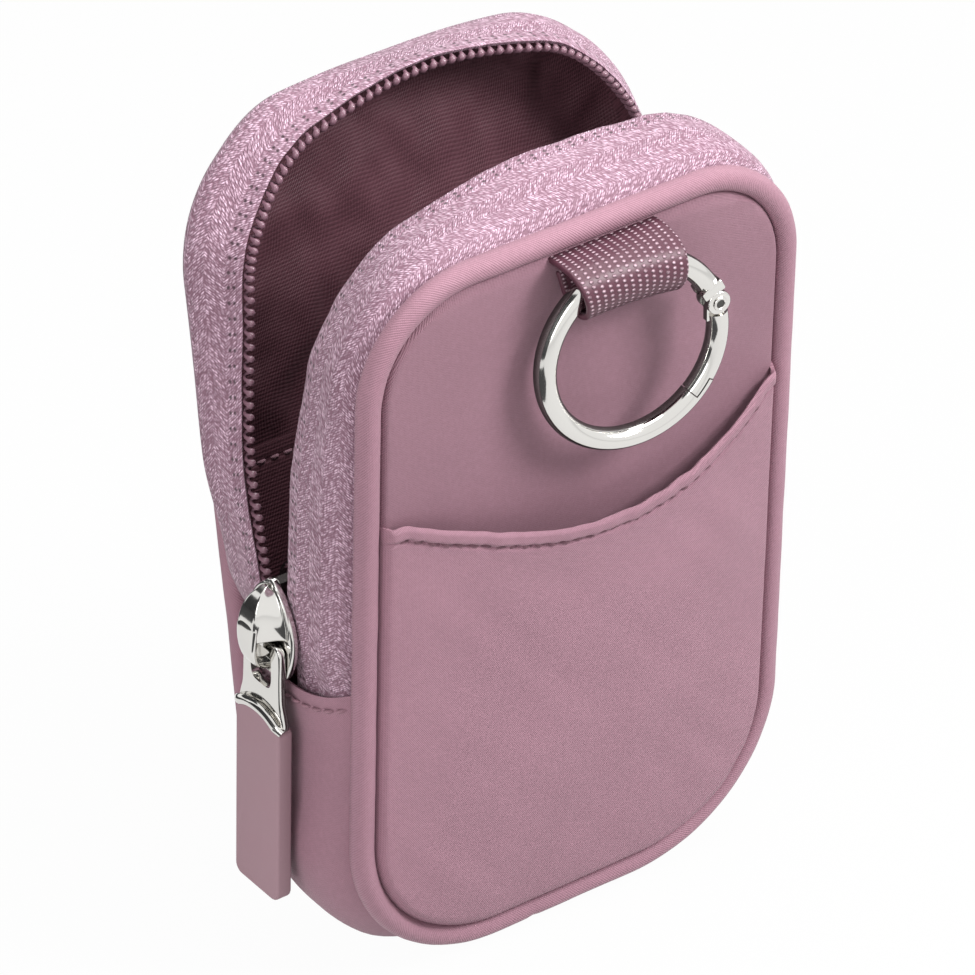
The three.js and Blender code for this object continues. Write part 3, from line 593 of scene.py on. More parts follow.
floats = node_math(tree, "MINIMUM", node_math(tree, "MAXIMUM", floats, 0.0), 1.0)
own = tree.nodes.new("ShaderNodeSeparateXYZ")
tree.links.new(grain.outputs["Color"], own.inputs[0])
floats_and_glint = node_math(tree, "MULTIPLY", floats, node_math(tree, "MULTIPLY_ADD", own.outputs[0], 1.2, 0.35))
floats_and_glint = node_math(tree, "MULTIPLY", floats_and_glint, rib)
change = place_group(tree, drift, Place=place.outputs["Object"], Size=70.0, Fine=2300.0)
# Painted glint: the raised floats are lightened towards near-white pink, partly the float pattern and partly
# painted highlight.
base = node_mix(tree, floats_and_glint, (0.19, 0.085, 0.125), (1.0, 0.70, 0.87))
base = node_mix(tree, node_math(tree, "MULTIPLY", change.outputs["Slow"], 0.3), base, (0.53, 0.335, 0.43))
hole_dent_and_shade = 0.0
for row in HOLE_ROWS:
    across = node_math(tree, "SUBTRACT", split.outputs[0], row)
    across = node_math(tree, "ABSOLUTE", node_math(tree, "DIVIDE", across, 0.3))
    across = node_math(tree, "POWER", across, 2.0)
    along = node_math(tree, "PINGPONG", split.outputs[1], HOLE_PITCH / 2)
    along = node_math(tree, "POWER", node_math(tree, "DIVIDE", along, 0.36), 2.0)
    spot = node_math(tree, "SUBTRACT", 1.0, node_math(tree, "ADD", across, along))
    hole_dent_and_shade = node_math(tree, "MAXIMUM", spot, hole_dent_and_shade)
# Painted shade: the needle holes are darkened to near black as the shade inside them; the same mask also
# dents the surface.
base = node_mix(tree, hole_dent_and_shade, base, (0.07, 0.035, 0.048))
tree.links.new(base, shader.inputs["Base Color"])
rough = node_math(tree, "MULTIPLY_ADD", floats_and_glint, -0.24, 0.6)
tree.links.new(rough, shader.inputs["Roughness"])
height = node_math(tree, "SUBTRACT", floats, hole_dent_and_shade)
add_relief(tree, shader, height, 0.85, 0.00022)
shader.inputs["Sheen Weight"].default_value = 0.15
shader.inputs["Sheen Roughness"].default_value = 0.4
print("tape finish made")

# %% [markdown]
# ## Webbing, coil, silicone and nickel
# The loop is a shiny satin webbing, whose short floats show as rows of pale dots: their glints are painted
# into the colour as painted highlights. The coil is a glossy plastic wire. The grip is matt silicone rubber.
# The ring and slider are polished nickel, with faint smears that change how sharp the reflections are.

# %% Make the webbing finish
DOT_COLUMN = 1.2
DOT_ROW = 0.68
webbing_finish, tree, shader = start_material("satin_webbing")
place, split = thread_map(tree)
column = node_math(tree, "DIVIDE", split.outputs[0], DOT_COLUMN)
shift = node_math(tree, "MULTIPLY", node_math(tree, "FLOOR", column), 0.5)
row = node_math(tree, "ADD", node_math(tree, "DIVIDE", split.outputs[1], DOT_ROW), shift)
aside = node_math(tree, "DIVIDE", node_math(tree, "SUBTRACT", node_math(tree, "FRACT", column), 0.5), 0.3)
ahead = node_math(tree, "DIVIDE", node_math(tree, "SUBTRACT", node_math(tree, "FRACT", row), 0.5), 0.38)
aside = node_math(tree, "MULTIPLY", aside, aside)
far = node_math(tree, "ADD", aside, node_math(tree, "MULTIPLY", ahead, ahead))
floats = node_math(tree, "MAXIMUM", node_math(tree, "SUBTRACT", 1.0, far), 0.0)
change = place_group(tree, drift, Place=place.outputs["Object"], Size=150.0, Fine=2600.0)
glint = node_math(tree, "MULTIPLY_ADD", change.outputs["Speck"], 1.7, -0.25)
painted_dot_glint = node_math(tree, "MULTIPLY", floats, glint)
# Painted highlight: the satin floats are lightened towards pale pink as painted glints, scattered by the fine
# noise.
base = node_mix(tree, painted_dot_glint, (0.1, 0.038, 0.055), (0.85, 0.61, 0.7))
tree.links.new(base, shader.inputs["Base Color"])
tree.links.new(node_math(tree, "MULTIPLY_ADD", floats, -0.16, 0.36), shader.inputs["Roughness"])
add_relief(tree, shader, floats, 0.9, 0.0003)
shader.inputs["Specular IOR Level"].default_value = 0.3
print("webbing finish made")

# %% Make the coil, silicone and nickel


def moulded(name, colour, rough, fine, bump, vary=0.08, metal=0.0):
    """A smooth finish with slow smears in its gloss and a fine grain."""
    material, tree, shader = start_material(name)
    place = tree.nodes.new("ShaderNodeTexCoord")
    change = place_group(tree, drift, Place=place.outputs["Object"], Size=120.0, Fine=fine)
    light = tuple(min(1.0, c * (1 + vary)) for c in colour)
    dark = tuple(c * (1 - vary) for c in colour)
    tree.links.new(node_mix(tree, change.outputs["Slow"], dark, light), shader.inputs["Base Color"])
    gloss = node_math(tree, "MULTIPLY_ADD", change.outputs["Slow"], rough * 0.8, rough * 0.6)
    tree.links.new(gloss, shader.inputs["Roughness"])
    add_relief(tree, shader, change.outputs["Speck"], bump, 0.00005)
    shader.inputs["Metallic"].default_value = metal
    return material


coil_finish = moulded("coil_plastic", (0.22, 0.115, 0.15), 0.16, 900.0, 0.05)
silicone = moulded("matt_silicone", (0.36, 0.222, 0.256), 0.62, 2600.0, 0.35, 0.04)
nickel = moulded("polished_nickel", (0.76, 0.745, 0.715), 0.1, 500.0, 0.01, 0.03, 1.0)
# This dark metal finish serves the spring, and fills the bore of the rivet as painted shade.
dark_steel_and_shade = moulded("dark_steel_and_bore_shade", (0.10, 0.098, 0.095), 0.4, 1200.0, 0.05, 0.05, 1.0)
print("finishes:", [material.name for material in bpy.data.materials if material.use_nodes])

# %% [markdown]
# ## The front face
# The front panel is cut a little larger than its frame of piping, so it bulges softly once it is sewn in.
# A flat plate would look like card. The grid follows the outline, its depth grows with the distance from
# the seam, and slow noise adds the shallow waves that thin nylon always has. Its edge is tucked behind the
# piping, as a seam allowance is.

# %% Sew the front panel
SEAM_TUCK = 2.8
PANEL_DOME = 0.5


def edge_gap(x, z):
    """How far a point of the face is from the outline, in millimetres."""
    side = np.abs(x)
    gap = np.minimum(np.minimum(HALF_WIDTH - side, z - BASE), TOP - z)
    in_top = (side > TOP_CENTRE[0]) & (z > TOP_CENTRE[1])
    in_base = (side > BASE_CENTRE[0]) & (z < BASE_CENTRE[1])
    top_gap = TOP_RADIUS - np.hypot(side - TOP_CENTRE[0], z - TOP_CENTRE[1])
    base_gap = BASE_RADIUS - np.hypot(side - BASE_CENTRE[0], z - BASE_CENTRE[1])
    return np.where(in_top, top_gap, np.where(in_base, base_gap, gap))


def face_columns(count, inset=SEAM_TUCK):
    """Column positions across the face, closer together near the sides, where the corners turn."""
    return (HALF_WIDTH - inset) * np.sin(np.linspace(-math.pi / 2, math.pi / 2, count + 1))


def base_line(x, inset=SEAM_TUCK):
    """The lower edge of the face at each column."""
    beyond = np.maximum(np.abs(x) - BASE_CENTRE[0], 0)
    return BASE_CENTRE[1] - np.sqrt(np.maximum((BASE_RADIUS - inset) ** 2 - beyond ** 2, 0))


def top_line(x, inset=SEAM_TUCK):
    """The upper edge of the face at each column."""
    beyond = np.maximum(np.abs(x) - TOP_CENTRE[0], 0)
    return TOP_CENTRE[1] + np.sqrt(np.maximum((TOP_RADIUS - inset) ** 2 - beyond ** 2, 0))


def face_depth(x, z, dome=PANEL_DOME, seed=3.0, ripple=0.4):
    """How far a sewn face stands from the middle of the pouch."""
    gap = edge_gap(x, z)
    points = np.stack([x, np.zeros_like(x), z], axis=-1)
    waves = crumple(points, (17, 17, 30), seed) + 0.5 * crumple(points, (9, 9, 13), seed + 8)
    swell = 1 - np.exp(-np.maximum(gap - 4.4, 0) / 8)
    return FACE - 2.5 + 2.05 * eased((gap - SEAM_TUCK) / 1.6) + swell * (dome + ripple * waves)


def face_sheet(side, rows=110, columns=96, dome=PANEL_DOME, seed=3.0):
    """A whole face as a grid; side is -1 for the front and 1 for the back."""
    x = face_columns(columns)
    share = np.linspace(0, 1, rows + 1)[:, None]
    z = base_line(x) + share * (top_line(x) - base_line(x))
    x = np.broadcast_to(x, z.shape)
    grid = np.stack([x, side * face_depth(x, z, dome, seed), z], axis=2)
    return grid, np.stack([x, z], axis=2)


grid, thread = face_sheet(-1)
front_panel = faced_from(cloth("front_panel_cloth", grid, thread), (0, 0, 60))
modified(front_panel, "SOLIDIFY", thickness=0.7 * MM, offset=-1)
dressed(smoothed(front_panel), shaded_panel_nylon, "pouch", ["front_panel"])

# %% [markdown]
# ## The front pocket
# A second layer of nylon covers the lower two thirds and makes a slip pocket. Its top edge is scooped, is
# turned over once and stitched, and stands a little away from the panel behind it. The rows of the grid
# crowd together near the hem, so that the fold and the puckers of the stitching are real shapes.

# %% Sew the front pocket
HEM_CURVE = (0.0000973, 0.009084, -0.0980, 72.53)
HEM_WIDTH = 2.5
STITCH_PITCH = 2.4
POCKET_BELLY = 3.4


def hem_line(x):
    """The scooped upper edge of the pocket, lower where its ends tuck into the seams."""
    spots = np.stack([x, 0 * x, 0 * x], axis=-1)
    tucked = 1.5 * eased((np.abs(x) - HALF_WIDTH + SEAM_TUCK + 4.5) / 4.5)
    return np.polyval(HEM_CURVE, x) + 0.2 * crumple(spots, 2.8, 52.0) - tucked


def pocket_depth(x, z):
    """How far the pocket stands from the middle of the pouch."""
    below = hem_line(x) - z
    middle = 1 - (x / (HALF_WIDTH - SEAM_TUCK)) ** 2
    gape = 1.1 * middle * np.exp(-np.maximum(below, 0) / 9)
    fold = 0.42 * eased((HEM_WIDTH + 0.3 - below) / 0.7)
    pucker = 0.7 + 0.3 * np.cos(2 * math.pi * x / STITCH_PITCH)
    groove = 0.75 * pucker * np.exp(-((below - HEM_WIDTH) / 0.38) ** 2)
    roll = 0.5 * eased((0.6 - below) / 0.6)
    spots = np.stack([x, np.zeros_like(x), z], axis=-1)
    ruffle = 0.22 * crumple(spots, (2.3, 9, 5), 14.0) * np.exp(-np.maximum(below - HEM_WIDTH, 0) / 1.5)
    folds = 0.6 * crumple(np.stack([x + 0.9 * z, 0 * x, 0.25 * z], axis=-1), (7, 7, 12), 17.0)
    folds = folds * np.clip(0.55 + 0.75 * crumple(spots, (19, 19, 23), 29.0), 0.1, 1.3)
    folds = folds * eased(edge_gap(x, z) / 14) * eased((below - HEM_WIDTH) / 8)
    belly = POCKET_BELLY * np.clip(middle, 0, 1) * np.clip(1 - ((z - 56) / 53) ** 2, 0, 1)
    seam = eased((edge_gap(x, z) - SEAM_TUCK) / 2.0)
    return face_depth(x, z) + seam * (0.75 + belly + gape + fold - groove - roll + ruffle + folds)


x = face_columns(190)
hem_share = np.concatenate([np.linspace(0, 0.9, 56)[:-1], np.linspace(0.9, 1, 26)])[:, None]
z = base_line(x) + hem_share * (hem_line(x) - base_line(x))
x = np.broadcast_to(x, z.shape)
grid = np.stack([x, -pocket_depth(x, z), z], axis=2)
front_pocket = faced_from(cloth("front_pocket_cloth", grid, np.stack([x, z], axis=2)), (0, 0, 60))
modified(front_pocket, "SOLIDIFY", thickness=0.55 * MM, offset=-1)
dressed(smoothed(front_pocket, 60), nylon, "pouch", ["front_pocket"])
declared_sheet(front_pocket, grid, (HALF_WIDTH * 2 - 2 * SEAM_TUCK, 84.0))

# %% [markdown]
# ## Stitches
# A stitch is a short, plump length of thread that dips into the cloth at both ends. One stitch is modelled
# with a few faces and copied along a line, each copy turned to follow the seam. The copies are one mesh,
# because a sewing machine lays them as one thread.

# %% Lay the stitches of the pocket hem
STITCH_RADIUS = 0.29


def stitches(name, line, out, pitch=STITCH_PITCH, share=0.74, radius=STITCH_RADIUS):
    """A row of stitches on a line of points, standing out along the given directions."""
    line = np.asarray(line, float)
    out = np.broadcast_to(np.asarray(out, float), line.shape)
    lengths = np.concatenate([[0], np.cumsum(np.linalg.norm(np.diff(line, axis=0), axis=1))])
    starts = np.arange(pitch * 0.3, lengths[-1] - pitch * share, pitch)
    points = []
    faces = []
    stops = np.array([0.0, 0.18, 0.5, 0.82, 1.0])
    girth = np.array([0.35, 0.95, 1.0, 0.95, 0.35])
    rise = np.array([-0.9, 0.25, 0.55, 0.25, -0.9])
    sides = 6
    for start in starts:
        first = len(points)
        for stop, wide, high in zip(stops, girth, rise):
            at = start + stop * pitch * share
            middle = np.array([np.interp(at, lengths, line[:, k]) for k in range(3)])
            up = np.array([np.interp(at, lengths, out[:, k]) for k in range(3)])
            ahead = np.array([np.interp(at + 0.1, lengths, line[:, k]) for k in range(3)]) - middle
            aside = np.cross(ahead, up)
            aside = aside / np.linalg.norm(aside)
            for turn in range(sides):
                angle = 2 * math.pi * turn / sides
                ring = math.cos(angle) * aside + math.sin(angle) * up
                points.append(middle + up * high * radius + ring * wide * radius)
        for step in range(len(stops) - 1):
            for turn in range(sides):
                low = first + step * sides
                after = (turn + 1) % sides
                faces.append([low + turn, low + after, low + sides + after, low + sides + turn])
        faces.append([first + turn for turn in range(sides)])
        faces.append([first + (len(stops) - 1) * sides + turn for turn in range(sides)])
    mesh = bpy.data.meshes.new(name)
    mesh.from_pydata((np.array(points) * MM).tolist(), [], faces)
    threads = mesh.uv_layers.new(name="thread")
    corners = np.zeros(len(mesh.loops), dtype=np.int32)
    mesh.loops.foreach_get("vertex_index", corners)
    flat = np.array(points)[corners][:, [0, 2]]
    threads.data.foreach_set("uv", flat.astype(np.float32).ravel())
    piece = bpy.data.objects.new(name, mesh)
    bpy.context.scene.collection.objects.link(piece)
    print(name, "has", len(starts), "stitches")
    return smoothed(cleaned(piece), 70)


x = np.linspace(-33.0, 33.0, 240)
z = hem_line(x) - HEM_WIDTH
line = np.stack([x, -pocket_depth(x, z), z], axis=1)
dressed(stitches("pocket_hem_stitches", line, (0, -1, 0)), shaded_hem_thread, "pouch")

# %% [markdown]
# ## The piping
# Piping is a cord wrapped in a bias strip and caught in the seam all round a face. It is a tube swept along
# the outline, a little uneven, as a hand-fed strip is, with a crease where its two ends meet on the base.
# The cover hides the cord, so one tube stands for both solids.

# %% Sew the front and back piping
PIPING_RADIUS = 1.8
PIPING_JOIN = -6.0
PIPING_SIDES = 18


def piping_tube(side, join, seed):
    """The round edge of one face; side is -1 for the front and 1 for the back."""
    stations = whole_loop(join)[:-1]
    steps = np.linalg.norm(np.diff(stations[:, :2], axis=0), axis=1)
    run = np.concatenate([[0], np.cumsum(steps)])
    length = run[-1] + steps[-1]
    angles = np.linspace(0, 2 * math.pi, PIPING_SIDES + 1)[:-1]
    spots = np.stack([stations[:, 0], np.full(len(stations), seed), stations[:, 1]], axis=1)
    radius = PIPING_RADIUS * (1 + 0.035 * crumple(spots, 5.0, seed))
    radius *= 1 - 0.08 * np.exp(-(np.minimum(run, length - run) / 0.7) ** 2)
    lift = -PIPING_RADIUS + radius[:, None] * np.cos(angles)
    depth = side * (FACE - PIPING_RADIUS + radius[:, None] * np.sin(angles))
    grid = swept(stations, lift, depth)
    around = np.linspace(0, 2 * math.pi * PIPING_RADIUS, PIPING_SIDES + 1)
    thread = np.stack(np.meshgrid(around, np.append(run, length)), axis=2)
    return grid, thread


grid, thread = piping_tube(-1, PIPING_JOIN, 2.0)
front_piping = cleaned(cloth("front_piping", grid, thread, tube=True, closed=True))
dressed(smoothed(front_piping, 80), bias_nylon, "pouch", [
    "front_piping_cover", "front_piping_cord",
])

grid, thread = piping_tube(1, -PIPING_JOIN, 5.0)
back_piping = cleaned(cloth("back_piping", bent(grid), thread, tube=True, closed=True))
dressed(smoothed(back_piping, 80), bias_nylon, None, [
    "back_piping_cover", "back_piping_cord", "back_piping_cover_lower", "back_piping_cord_lower",
])

# %% [markdown]
# ## The back face
# The back panel is plain. It runs in one piece past the hinge, so it is drawn upright, bent, and then
# blended between the two bodies, so that the cloth turns smoothly instead of breaking at a
# line. Both solids of the back are replaced by the one panel.

# %% Sew the back panel
grid, thread = face_sheet(1, dome=1.3, seed=11.0)
back_panel = faced_from(cloth("back_panel_cloth", bent(grid), thread), (0, 0, 60))
modified(back_panel, "SOLIDIFY", thickness=0.7 * MM, offset=-1)
dressed(smoothed(back_panel), nylon, None, ["back_panel", "back_panel_lower"])

# %% [markdown]
# ## The zip tapes
# Each tape is a crowned band from its piping to its coil. The free edge makes a rounder arch than the
# piping does: it stands out over the top and at the sides, and is drawn in round the corners, more on the
# back than on the front. The lift of a point is the crown of the band plus a share of the lift of the edge.
# At the bottom both tapes dip under the folded end of the gusset.

# %% Shape the arch of the free edges
TOP_LIFT = {"front": 3.8, "back": 0.8}
SIDE_LIFT = 2.0
CORNER_TURN = math.radians(55)
CORNER_LIFT = {"front": (-2.2, 1.4), "back": (-3.2, -3.2)}
LEAN_HEIGHT = {"front": 80.0, "back": 71.0}


def edge_lift(stations, half):
    """How far the free edge of a tape stands out of the outline at each station."""
    turn = np.arctan2(np.abs(stations[:, 2]), stations[:, 3])
    run = np.minimum(np.abs(stations[:, 0]), TOP_CENTRE[0]) + TOP_RADIUS * turn
    run = run + np.maximum(TOP_CENTRE[1] - stations[:, 1], 0)
    corner_run = TOP_CENTRE[0] + TOP_RADIUS * CORNER_TURN
    side_run = TOP_CENTRE[0] + TOP_RADIUS * math.pi / 2 + TOP_CENTRE[1] - LEAN_HEIGHT[half]
    corner = np.where(stations[:, 0] < 0, *CORNER_LIFT[half])
    drawn_in = TOP_LIFT[half] + (corner - TOP_LIFT[half]) * eased(run / corner_run)
    let_out = eased((run - corner_run) / (side_run - corner_run))
    return drawn_in + (SIDE_LIFT - drawn_in) * let_out


TAPE_DEPTH = np.array([1.9, 2.1, 2.6, 3.2, 4.0, 5.2, 6.6, 8.0, 9.4, 10.7, 11.9, 12.9, 13.8])
TAPE_CROWN = np.array([-0.25, 0.0, 0.14, 0.25, 0.42, 0.6, 0.8, 0.95, 1.02, 0.9, 0.5, -0.3, -2.0])
TAPE_FOOT = 43.5
BACK_BULGE = 1.7


def head_rise(depth):
    """How much higher the folded end of the gusset is at a depth than in the middle."""
    return 3.0 * np.abs(depth / 14) ** 3


def back_bulge(stations, depth):
    """How much fuller the back tape is than the front one: most on the left, where the lean pulls it."""
    left = eased(-stations[:, 0] / 26) + 0.4 * eased(stations[:, 0] / 26)
    along = left * eased((stations[:, 1] - 60) / 16)
    return BACK_BULGE * along[:, None] * eased((depth - 2) / 7) * eased((14 - depth) / 3.5)


def tape_lift(stations, half, depth):
    """How far a tape stands out of the outline, for each station and each depth from the middle."""
    crown = np.interp(depth, TAPE_DEPTH, TAPE_CROWN)
    share = np.clip((13.6 - depth) / 11.7, 0, 1)
    slope = (58 - stations[:, 1])[:, None] + head_rise(depth)
    dip = 1.9 * eased(slope / 9)
    if half == "back":
        dip = dip + 1.4 * eased((slope - 5) / 5) * eased((depth - 5) / 5)
        crown = crown + back_bulge(stations, depth)
    return crown + share * edge_lift(stations, half)[:, None] - dip


print("edge lift over the front:", edge_lift(arch(ZIP_FOOT), "front")[::14].round(1))

# %% Sew the two tapes


def tape_grid(half, seed):
    """One tape as a grid, from its free edge to its seam, with the small waves of a sewn band."""
    side = -1 if half == "front" else 1
    stations = arch(TAPE_FOOT)
    lift = tape_lift(stations, half, TAPE_DEPTH)
    grid = swept(stations, lift, side * TAPE_DEPTH)
    free = np.clip(1 - TAPE_DEPTH / 13.0, 0, 1)
    wave = crumple(grid, (6, 5, 6), seed) * 0.2 * free
    wave = wave + crumple(grid, (2.2, 9, 2.2), seed + 2) * 0.14 * free ** 3
    sway = crumple(grid, (3.5, 9, 3.5), seed + 5) * 0.16 * (TAPE_DEPTH < 3)
    return swept(stations, lift + wave, side * (TAPE_DEPTH + sway))


grid = tape_grid("front", 1.0)
front_tape = faced_from(cloth("front_zip_tape", grid), (0, 0, 75))
modified(front_tape, "SOLIDIFY", thickness=0.7 * MM, offset=-1)
dressed(smoothed(front_tape, 60), tape_finish, "pouch", ["zip_tape_front"])

grid = tape_grid("back", 4.0)
back_tape = faced_from(cloth("back_zip_tape", leaned(grid)), (0, 15, 75))
modified(back_tape, "SOLIDIFY", thickness=0.7 * MM, offset=-1)
dressed(smoothed(back_tape, 60), tape_finish, "back_half", ["zip_tape_back"])

# %% [markdown]
# ## The coils
# A coil zip is one plastic wire wound into a flat spring and sewn under the edge of the tape. It is a tube
# along a helix that follows the free edge, with twelve steps to a turn and six sides, so the hundred turns
# stay light. The wire is pressed thicker where the two sides hook into each other, and these heads show as
# a row of glossy beads beside the tape.

# %% Wind the two coils
WIRE_SIDES = 6
COIL_PITCH = 1.62
COIL_STEPS = 12
COIL_WIRE = 0.3
COIL_HEAD = 0.22
COIL_DROP = {"front": 2.2, "back": 1.25}
COIL_DEPTH = 1.8


def wire_rings(centre, out, radius):
    """Rings of points round a line, for a wire of the given radius."""
    ahead = np.gradient(centre, axis=0)
    ahead /= np.linalg.norm(ahead, axis=1)[:, None]
    aside = np.cross(ahead, out)
    aside /= np.linalg.norm(aside, axis=1)[:, None]
    up = np.cross(aside, ahead)
    angles = np.linspace(0, 2 * math.pi, WIRE_SIDES + 1)[:-1]
    return centre[:, None] + radius * (
        np.cos(angles)[None, :, None] * aside[:, None] + np.sin(angles)[None, :, None] * up[:, None]
    )


def coil_grid(half):
    """The wound wire of one side of the zip, as a grid of rings."""
    side = -1 if half == "front" else 1
    coarse = arch(ZIP_FOOT - 1.5)
    run = np.concatenate([[0], np.cumsum(np.linalg.norm(np.diff(coarse[:, :2], axis=0), axis=1))])
    fine = np.arange(0, run[-1], COIL_PITCH / COIL_STEPS)
    stations = np.stack([np.interp(fine, run, coarse[:, k]) for k in range(4)], axis=1)
    stations[:, 2:] /= np.linalg.norm(stations[:, 2:], axis=1)[:, None]
    turn = 2 * math.pi * fine / COIL_PITCH
    lift = tape_lift(stations, half, np.array([2.1]))[:, 0] - COIL_DROP[half] + 0.4 * np.cos(turn)
    depth = side * (COIL_DEPTH + 0.7 * np.sin(turn))
    centre = swept(stations, lift[:, None], depth[:, None])[:, 0]
    out = np.stack([stations[:, 2], np.zeros(len(stations)), stations[:, 3]], axis=1)
    wire = (COIL_WIRE + COIL_HEAD * eased((-np.sin(turn) - 0.35) / 0.65))[:, None, None]
    return wire_rings(centre, out, wire)


front_coil = cleaned(cloth("front_zip_coil", coil_grid("front"), tube=True))
dressed(smoothed(front_coil, 80), coil_finish, "pouch", ["zip_coil_front"])
back_coil = cleaned(cloth("back_zip_coil", leaned(coil_grid("back")), tube=True))
dressed(smoothed(back_coil, 80), coil_finish, "back_half", ["zip_coil_back"])

# %% [markdown]
# ## The gusset
# The gusset is the strip of nylon that closes the sides and base below the zip. It is crowned like a
# saddle, and the pouch stands on it. Its two upper ends are folded under and stitched across the ends of
# the zip tapes, so the grid is given two more rows at each end that turn back inside.

# %% Sew the gusset and its stitches
GUSSET_HEAD = 49.6
FOLD_WIDTH = 2.4
GUSSET_CROWN = BASE
CORNER_FULLNESS = 2.4
SEAM_DEPTH = FACE - 3.3


def back_seam(z):
    """Where the gusset meets the back piping, at each height."""
    return SEAM_DEPTH + np.minimum(z - HINGE_Z, 0) * math.tan(LOW_LEAN)


def gusset_lift(share, z):
    """How far the gusset stands out of the outline; share runs from the front seam to the back one."""
    spread = np.abs(2 * share - 1)
    crown = -1.6 + (GUSSET_CROWN + 1.6) * (1 - spread ** 2.8)
    corner = CORNER_FULLNESS * eased(z / 7) * eased((32 - z) / 22)
    return crown + (1.0 * eased((z - 40) / 9) + corner) * (1 - spread ** 4)


share = np.linspace(0, 1, 33)[None, :]
stations = cradle(GUSSET_HEAD)
height = stations[:, 1][:, None]
depth = -SEAM_DEPTH + share * (back_seam(height) + SEAM_DEPTH)
lift = gusset_lift(share, height)
middle = 1 - np.abs(2 * share - 1) ** 2
spots = swept(stations, lift, depth)
above_base = np.clip((height - 6) / 10, 0, 1)
lift = lift + 0.3 * middle * above_base * crumple(spots, (9, 12, 14), 6.0)
gathers = crumple(spots, (2.6, 9, 2.6), 9.0) * np.exp(-((np.abs(2 * share - 1) - 0.84) / 0.12) ** 2)
lift = lift + 0.16 * above_base * gathers
crease = 0.3 * np.exp(-((height - GUSSET_HEAD + FOLD_WIDTH) / 0.6) ** 2)
lift = lift - crease
first, last = stations[:1], stations[-1:]
turned_in = [(0.1, -0.35), (0.5, -0.8), (4.0, -1.3)]
rows = [swept(stations, lift, depth)]
for drop, under in turned_in:
    lower = np.array([0, -drop, 0, 0])
    rows.insert(0, swept(first + lower, lift[:1] + under, depth[:1]))
    rows.append(swept(last + lower, lift[-1:] + under, depth[-1:]))
grid = np.vstack(rows)
grid[..., 2] += head_rise(grid[..., 1]) * eased((grid[..., 2] - 30) / (GUSSET_HEAD - 30))
gusset = faced_from(cloth("gusset_cloth", grid), (0, 0, 40))
modified(gusset, "SOLIDIFY", thickness=0.5 * MM, offset=-1)
dressed(smoothed(gusset, 60), nylon, "pouch", ["bottom_gusset"])

for side, name in ((-1, "left"), (1, "right")):
    share = np.linspace(0.03, 0.97, 90)
    drop = GUSSET_HEAD - FOLD_WIDTH
    depth = -SEAM_DEPTH + share * (back_seam(drop) + SEAM_DEPTH)
    out = gusset_lift(share, drop) + HALF_WIDTH - 0.05
    line = np.stack([side * out, depth, drop + head_rise(depth)], axis=1)
    row = stitches("gusset_stitches_" + name, line, (side, 0, 0), 2.1)
    dressed(row, thread_finish, "pouch")

# %% [markdown]
# ## The lining
# Inside, each half is lined with a thin plum cloth: a flat back with a wall that turns forward and is sewn
# to the tape a little way from the coil. Lining is cut loose, so it wrinkles. Each half is one dished
# sheet, made of rings that run round the wall and then shrink towards the middle line.

# %% Sew the linings
WALL_DEPTH = np.array([3.7, 5.4, 7.0, 9.0, 11.0, 12.5, 13.4, 13.9])
WALL_INSET = np.array([1.0, 1.1, 1.2, 1.4, 1.9, 2.6, 3.1, 3.5])
SPINE_LOW = 32.0
SPINE_HIGH = 94.0


def lining_dish(half, seed):
    """One half of the lining, upright, as rings from the free edge of the wall to the middle line."""
    side = -1 if half == "front" else 1
    stations = whole_loop(0)[:-1]
    low = eased((56 - stations[:, 1]) / 8)[:, None]
    lift = tape_lift(stations, half, WALL_DEPTH) - WALL_INSET - 0.6 * low * (WALL_DEPTH < 12)
    wall = swept(stations, lift, side * WALL_DEPTH)
    spine = np.stack([
        np.zeros(len(stations)),
        np.full(len(stations), side * 14.1),
        np.clip(stations[:, 1], SPINE_LOW, SPINE_HIGH),
    ], axis=1)
    inner = wall[:, -1]
    flat = [inner + part * (spine - inner) for part in np.linspace(0, 1, 29)[1:]]
    grid = np.concatenate([wall, np.stack(flat, axis=1)], axis=1)
    folds = crumple(grid, (10, 8, 14), seed) + 0.7 * crumple(grid, (4.5, 5, 6), seed + 3)
    gathers = crumple(grid, (2.2, 6, 3.2), seed + 6) * np.exp(-((np.arange(grid.shape[1]) - 7) / 4.5) ** 2)
    reach = np.clip(np.arange(grid.shape[1]) / 4, 0.15, 1)
    grid[..., 1] -= side * (1.3 * np.maximum(folds + 0.2, -0.2) + 0.55 * np.maximum(gathers, -0.3)) * reach
    squeeze = 0.25 * folds[:, :6]
    grid[:, :6, 0] -= stations[:, None, 2] * squeeze
    grid[:, :6, 2] -= stations[:, None, 3] * squeeze
    return grid, np.stack([grid[..., 0], grid[..., 2] + 0.6 * grid[..., 1]], axis=2)


def closed_thread(thread):
    """The thread map of a closed ring of rows, with its first row repeated at the end."""
    return np.concatenate([thread, thread[:1]], axis=0)


grid, thread = lining_dish("front", 21.0)
front_lining = cleaned(cloth("front_lining_cloth", grid, closed_thread(thread), closed=True), 0.05)
modified(front_lining, "SOLIDIFY", thickness=0.3 * MM, offset=0)
dressed(smoothed(front_lining, 70), lining_cloth, "pouch", ["front_lining"])

grid, thread = lining_dish("back", 27.0)
back_lining = cleaned(cloth("back_lining_cloth", bent(grid), closed_thread(thread), closed=True), 0.05)
modified(back_lining, "SOLIDIFY", thickness=0.3 * MM, offset=0)
dressed(smoothed(back_lining, 70), lining_cloth, None, ["back_lining", "back_lining_lower"])

